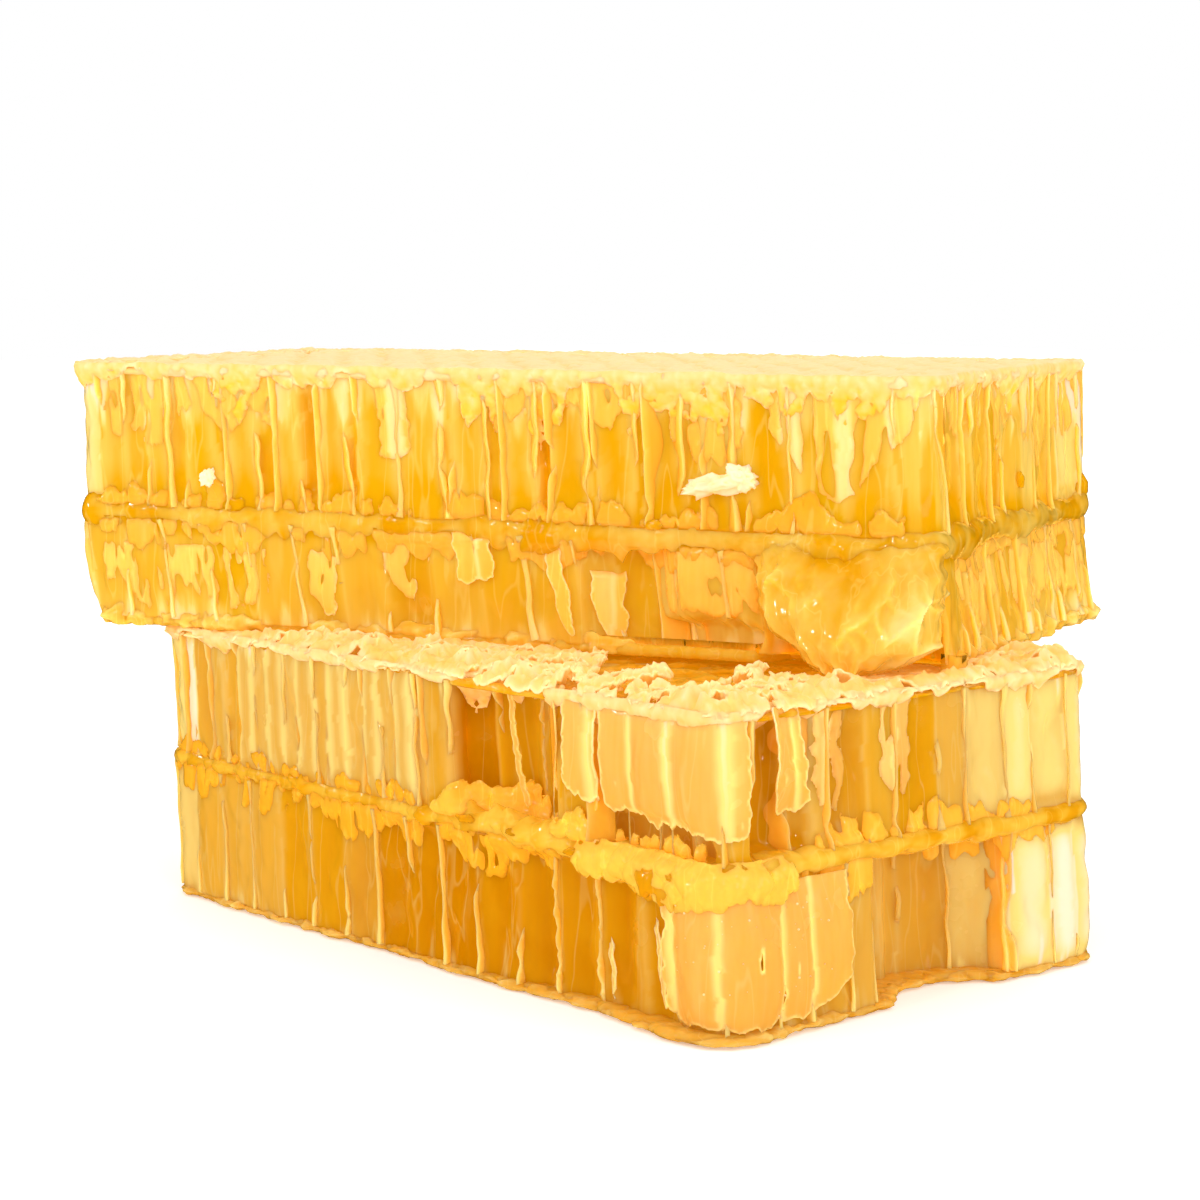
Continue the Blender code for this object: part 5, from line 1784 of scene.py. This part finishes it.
def addBubbles(material):
    # air caught in the film cells at the lower front corner
    random.seed(5)
    points, normals = cutLoop(lower, "down", 0.3 * mm)
    starts = [int(np.argmin(np.hypot(*(points - np.array(place) * mm).T))) for place in ((38.0, -25.3), (43.3, -12.0))]
    width = (starts[1] - starts[0]) % len(points)
    pile = Pile("edge", "pale")
    for number in range(55):
        spot = (starts[0] + random.randrange(width)) % len(points)
        height = random.choice((random.uniform(8.5, 12.5), random.uniform(2.0, 12.0))) * mm
        size = random.choice((0.04, 0.05, 0.07, 0.11))
        out = random.uniform(0.9, 1.35) * mm
        x, y = points[spot] + normals[spot] * out
        world = toWorld(lower, np.array(x + layerShift(lower, "down", lower["zMidrib"] - height)), np.array(y), height)
        ball, kept, _ = roundBlob(world / mm, (size, size, size), 5)
        pile.add(ball * mm, kept, edge=0.6, pale=0.9)
    pile.build("bubbles", material, slot="capping_wax")


addBubbles(finishes["crust"])


def addCrumbs(material):
    # crumbs of wax along the cut edges and on the cappings
    random.seed(11)
    pile = Pile("edge", "pale")
    places = []
    for slab, layer, height, count, spread in (
        (upper, "up", 56.2, 420, 1.6), (lower, "up", 28.7, 240, 1.6),
    ):
        points, normals = cutLoop(slab, layer, 0.3 * mm)
        for number in range(count):
            spot = random.randrange(len(points))
            inward = abs(random.gauss(0, spread)) - 0.25 if layer == "up" else -random.uniform(0.0, 0.6)
            x, y = points[spot] - normals[spot] * inward * mm
            shift = topShift(slab) if layer == "up" else 0.0
            z = height + random.uniform(-0.2, 0.25) if layer == "up" else height + random.gauss(0, 0.8)
            places.append((slab, x + shift, y, z))
    for number, (slab, x, y, z) in enumerate(places):
        sizes = [random.uniform(0.12, 0.42) * random.choice((0.6, 1.0)) for _ in range(3)]
        sizes[2] = min(sizes[2], 0.24)
        x, y, _ = toWorld(slab, np.array(x), np.array(y), 0.0) / mm
        ball, kept, _ = roundBlob((x, y, z), sizes, 4, 0.6, number, 1.5)
        pile.add(ball * mm, kept, edge=random.uniform(0.0, 0.5), pale=random.uniform(0.1, 0.9))
    pile.build("crumbs", material, slot="capping_wax")


addCrumbs(finishes["crust"])
print("crumbs made")


# ---------- table, light and camera

stageLook = {"floorSize": 3.0, "floorTone": (0.95, 0.95, 0.94, 1.0)}


def addFloor():
    bpy.ops.mesh.primitive_plane_add(size=stageLook["floorSize"], location=(0, 0, -0.0001))
    floor = bpy.context.object
    floor.name = "table"
    finish = Finish("white_table")
    floor.data.materials.append(finish.finished({
        "Base Color": stageLook["floorTone"],
        "Roughness": 0.6,
        "Specular IOR Level": 0.0,
        "Emission Color": (1.0, 0.99, 0.97, 1.0),
        "Emission Strength": 0.3,
    }))
    floor.visible_glossy = False


def addLight(name, place, target, size, power, colour=(1.0, 1.0, 1.0)):
    data = bpy.data.lights.new(name, "AREA")
    data.shape = "RECTANGLE"
    data.size, data.size_y = size
    data.energy = power
    data.color = colour
    light = bpy.data.objects.new(name, data)
    light.location = place
    light.rotation_euler = (Vector(target) - Vector(place)).to_track_quat("-Z", "Y").to_euler()
    bpy.context.scene.collection.objects.link(light)
    return light


def addWorld():
    world = bpy.data.worlds.new("bright_room")
    world.use_nodes = True
    background = world.node_tree.nodes["Background"]
    background.inputs["Color"].default_value = (1.0, 1.0, 1.0, 1.0)
    background.inputs["Strength"].default_value = 1.0
    world.cycles_visibility.glossy = False
    bpy.context.scene.world = world


addFloor()
addWorld()
addLight("overhead", (0.05, 0.05, 0.55), (0, 0, 0.03), (0.5, 0.5), 0.15)
addLight("behind", (-0.40, 0.42, 0.30), (0, 0, 0.03), (0.5, 0.35), 0.38)
addLight("key", (0.10, -0.50, 0.35), (0, 0, 0.03), (0.045, 0.045), 0.18)
addLight("glint", (0.42, -0.22, 0.30), (0, 0, 0.03), (0.03, 0.05), 0.12)
addLight("sparkle", (-0.38, -0.44, 0.20), (0, 0, 0.03), (0.03, 0.03), 0.10)
addLight("side", (0.55, 0.15, 0.20), (0, 0, 0.03), (0.2, 0.25), 0.10)

view = {"azimuth": 48.5, "down": 6.6, "place": (0.2346, -0.2085, 0.0676), "lens": 88.65}


def addCamera():
    data = bpy.data.cameras.new("camera")
    data.sensor_width = 36
    data.lens = view["lens"]
    data.clip_start = 0.01
    camera = bpy.data.objects.new("camera", data)
    camera.location = view["place"]
    azimuth = math.radians(view["azimuth"])
    down = math.radians(view["down"])
    look = Vector((-math.sin(azimuth) * math.cos(down), math.cos(azimuth) * math.cos(down), -math.sin(down)))
    camera.rotation_euler = look.to_track_quat("-Z", "Y").to_euler()
    bpy.context.scene.collection.objects.link(camera)
    bpy.context.scene.camera = camera


addCamera()
bpy.context.scene.view_settings.view_transform = "Standard"

print("scene ready")
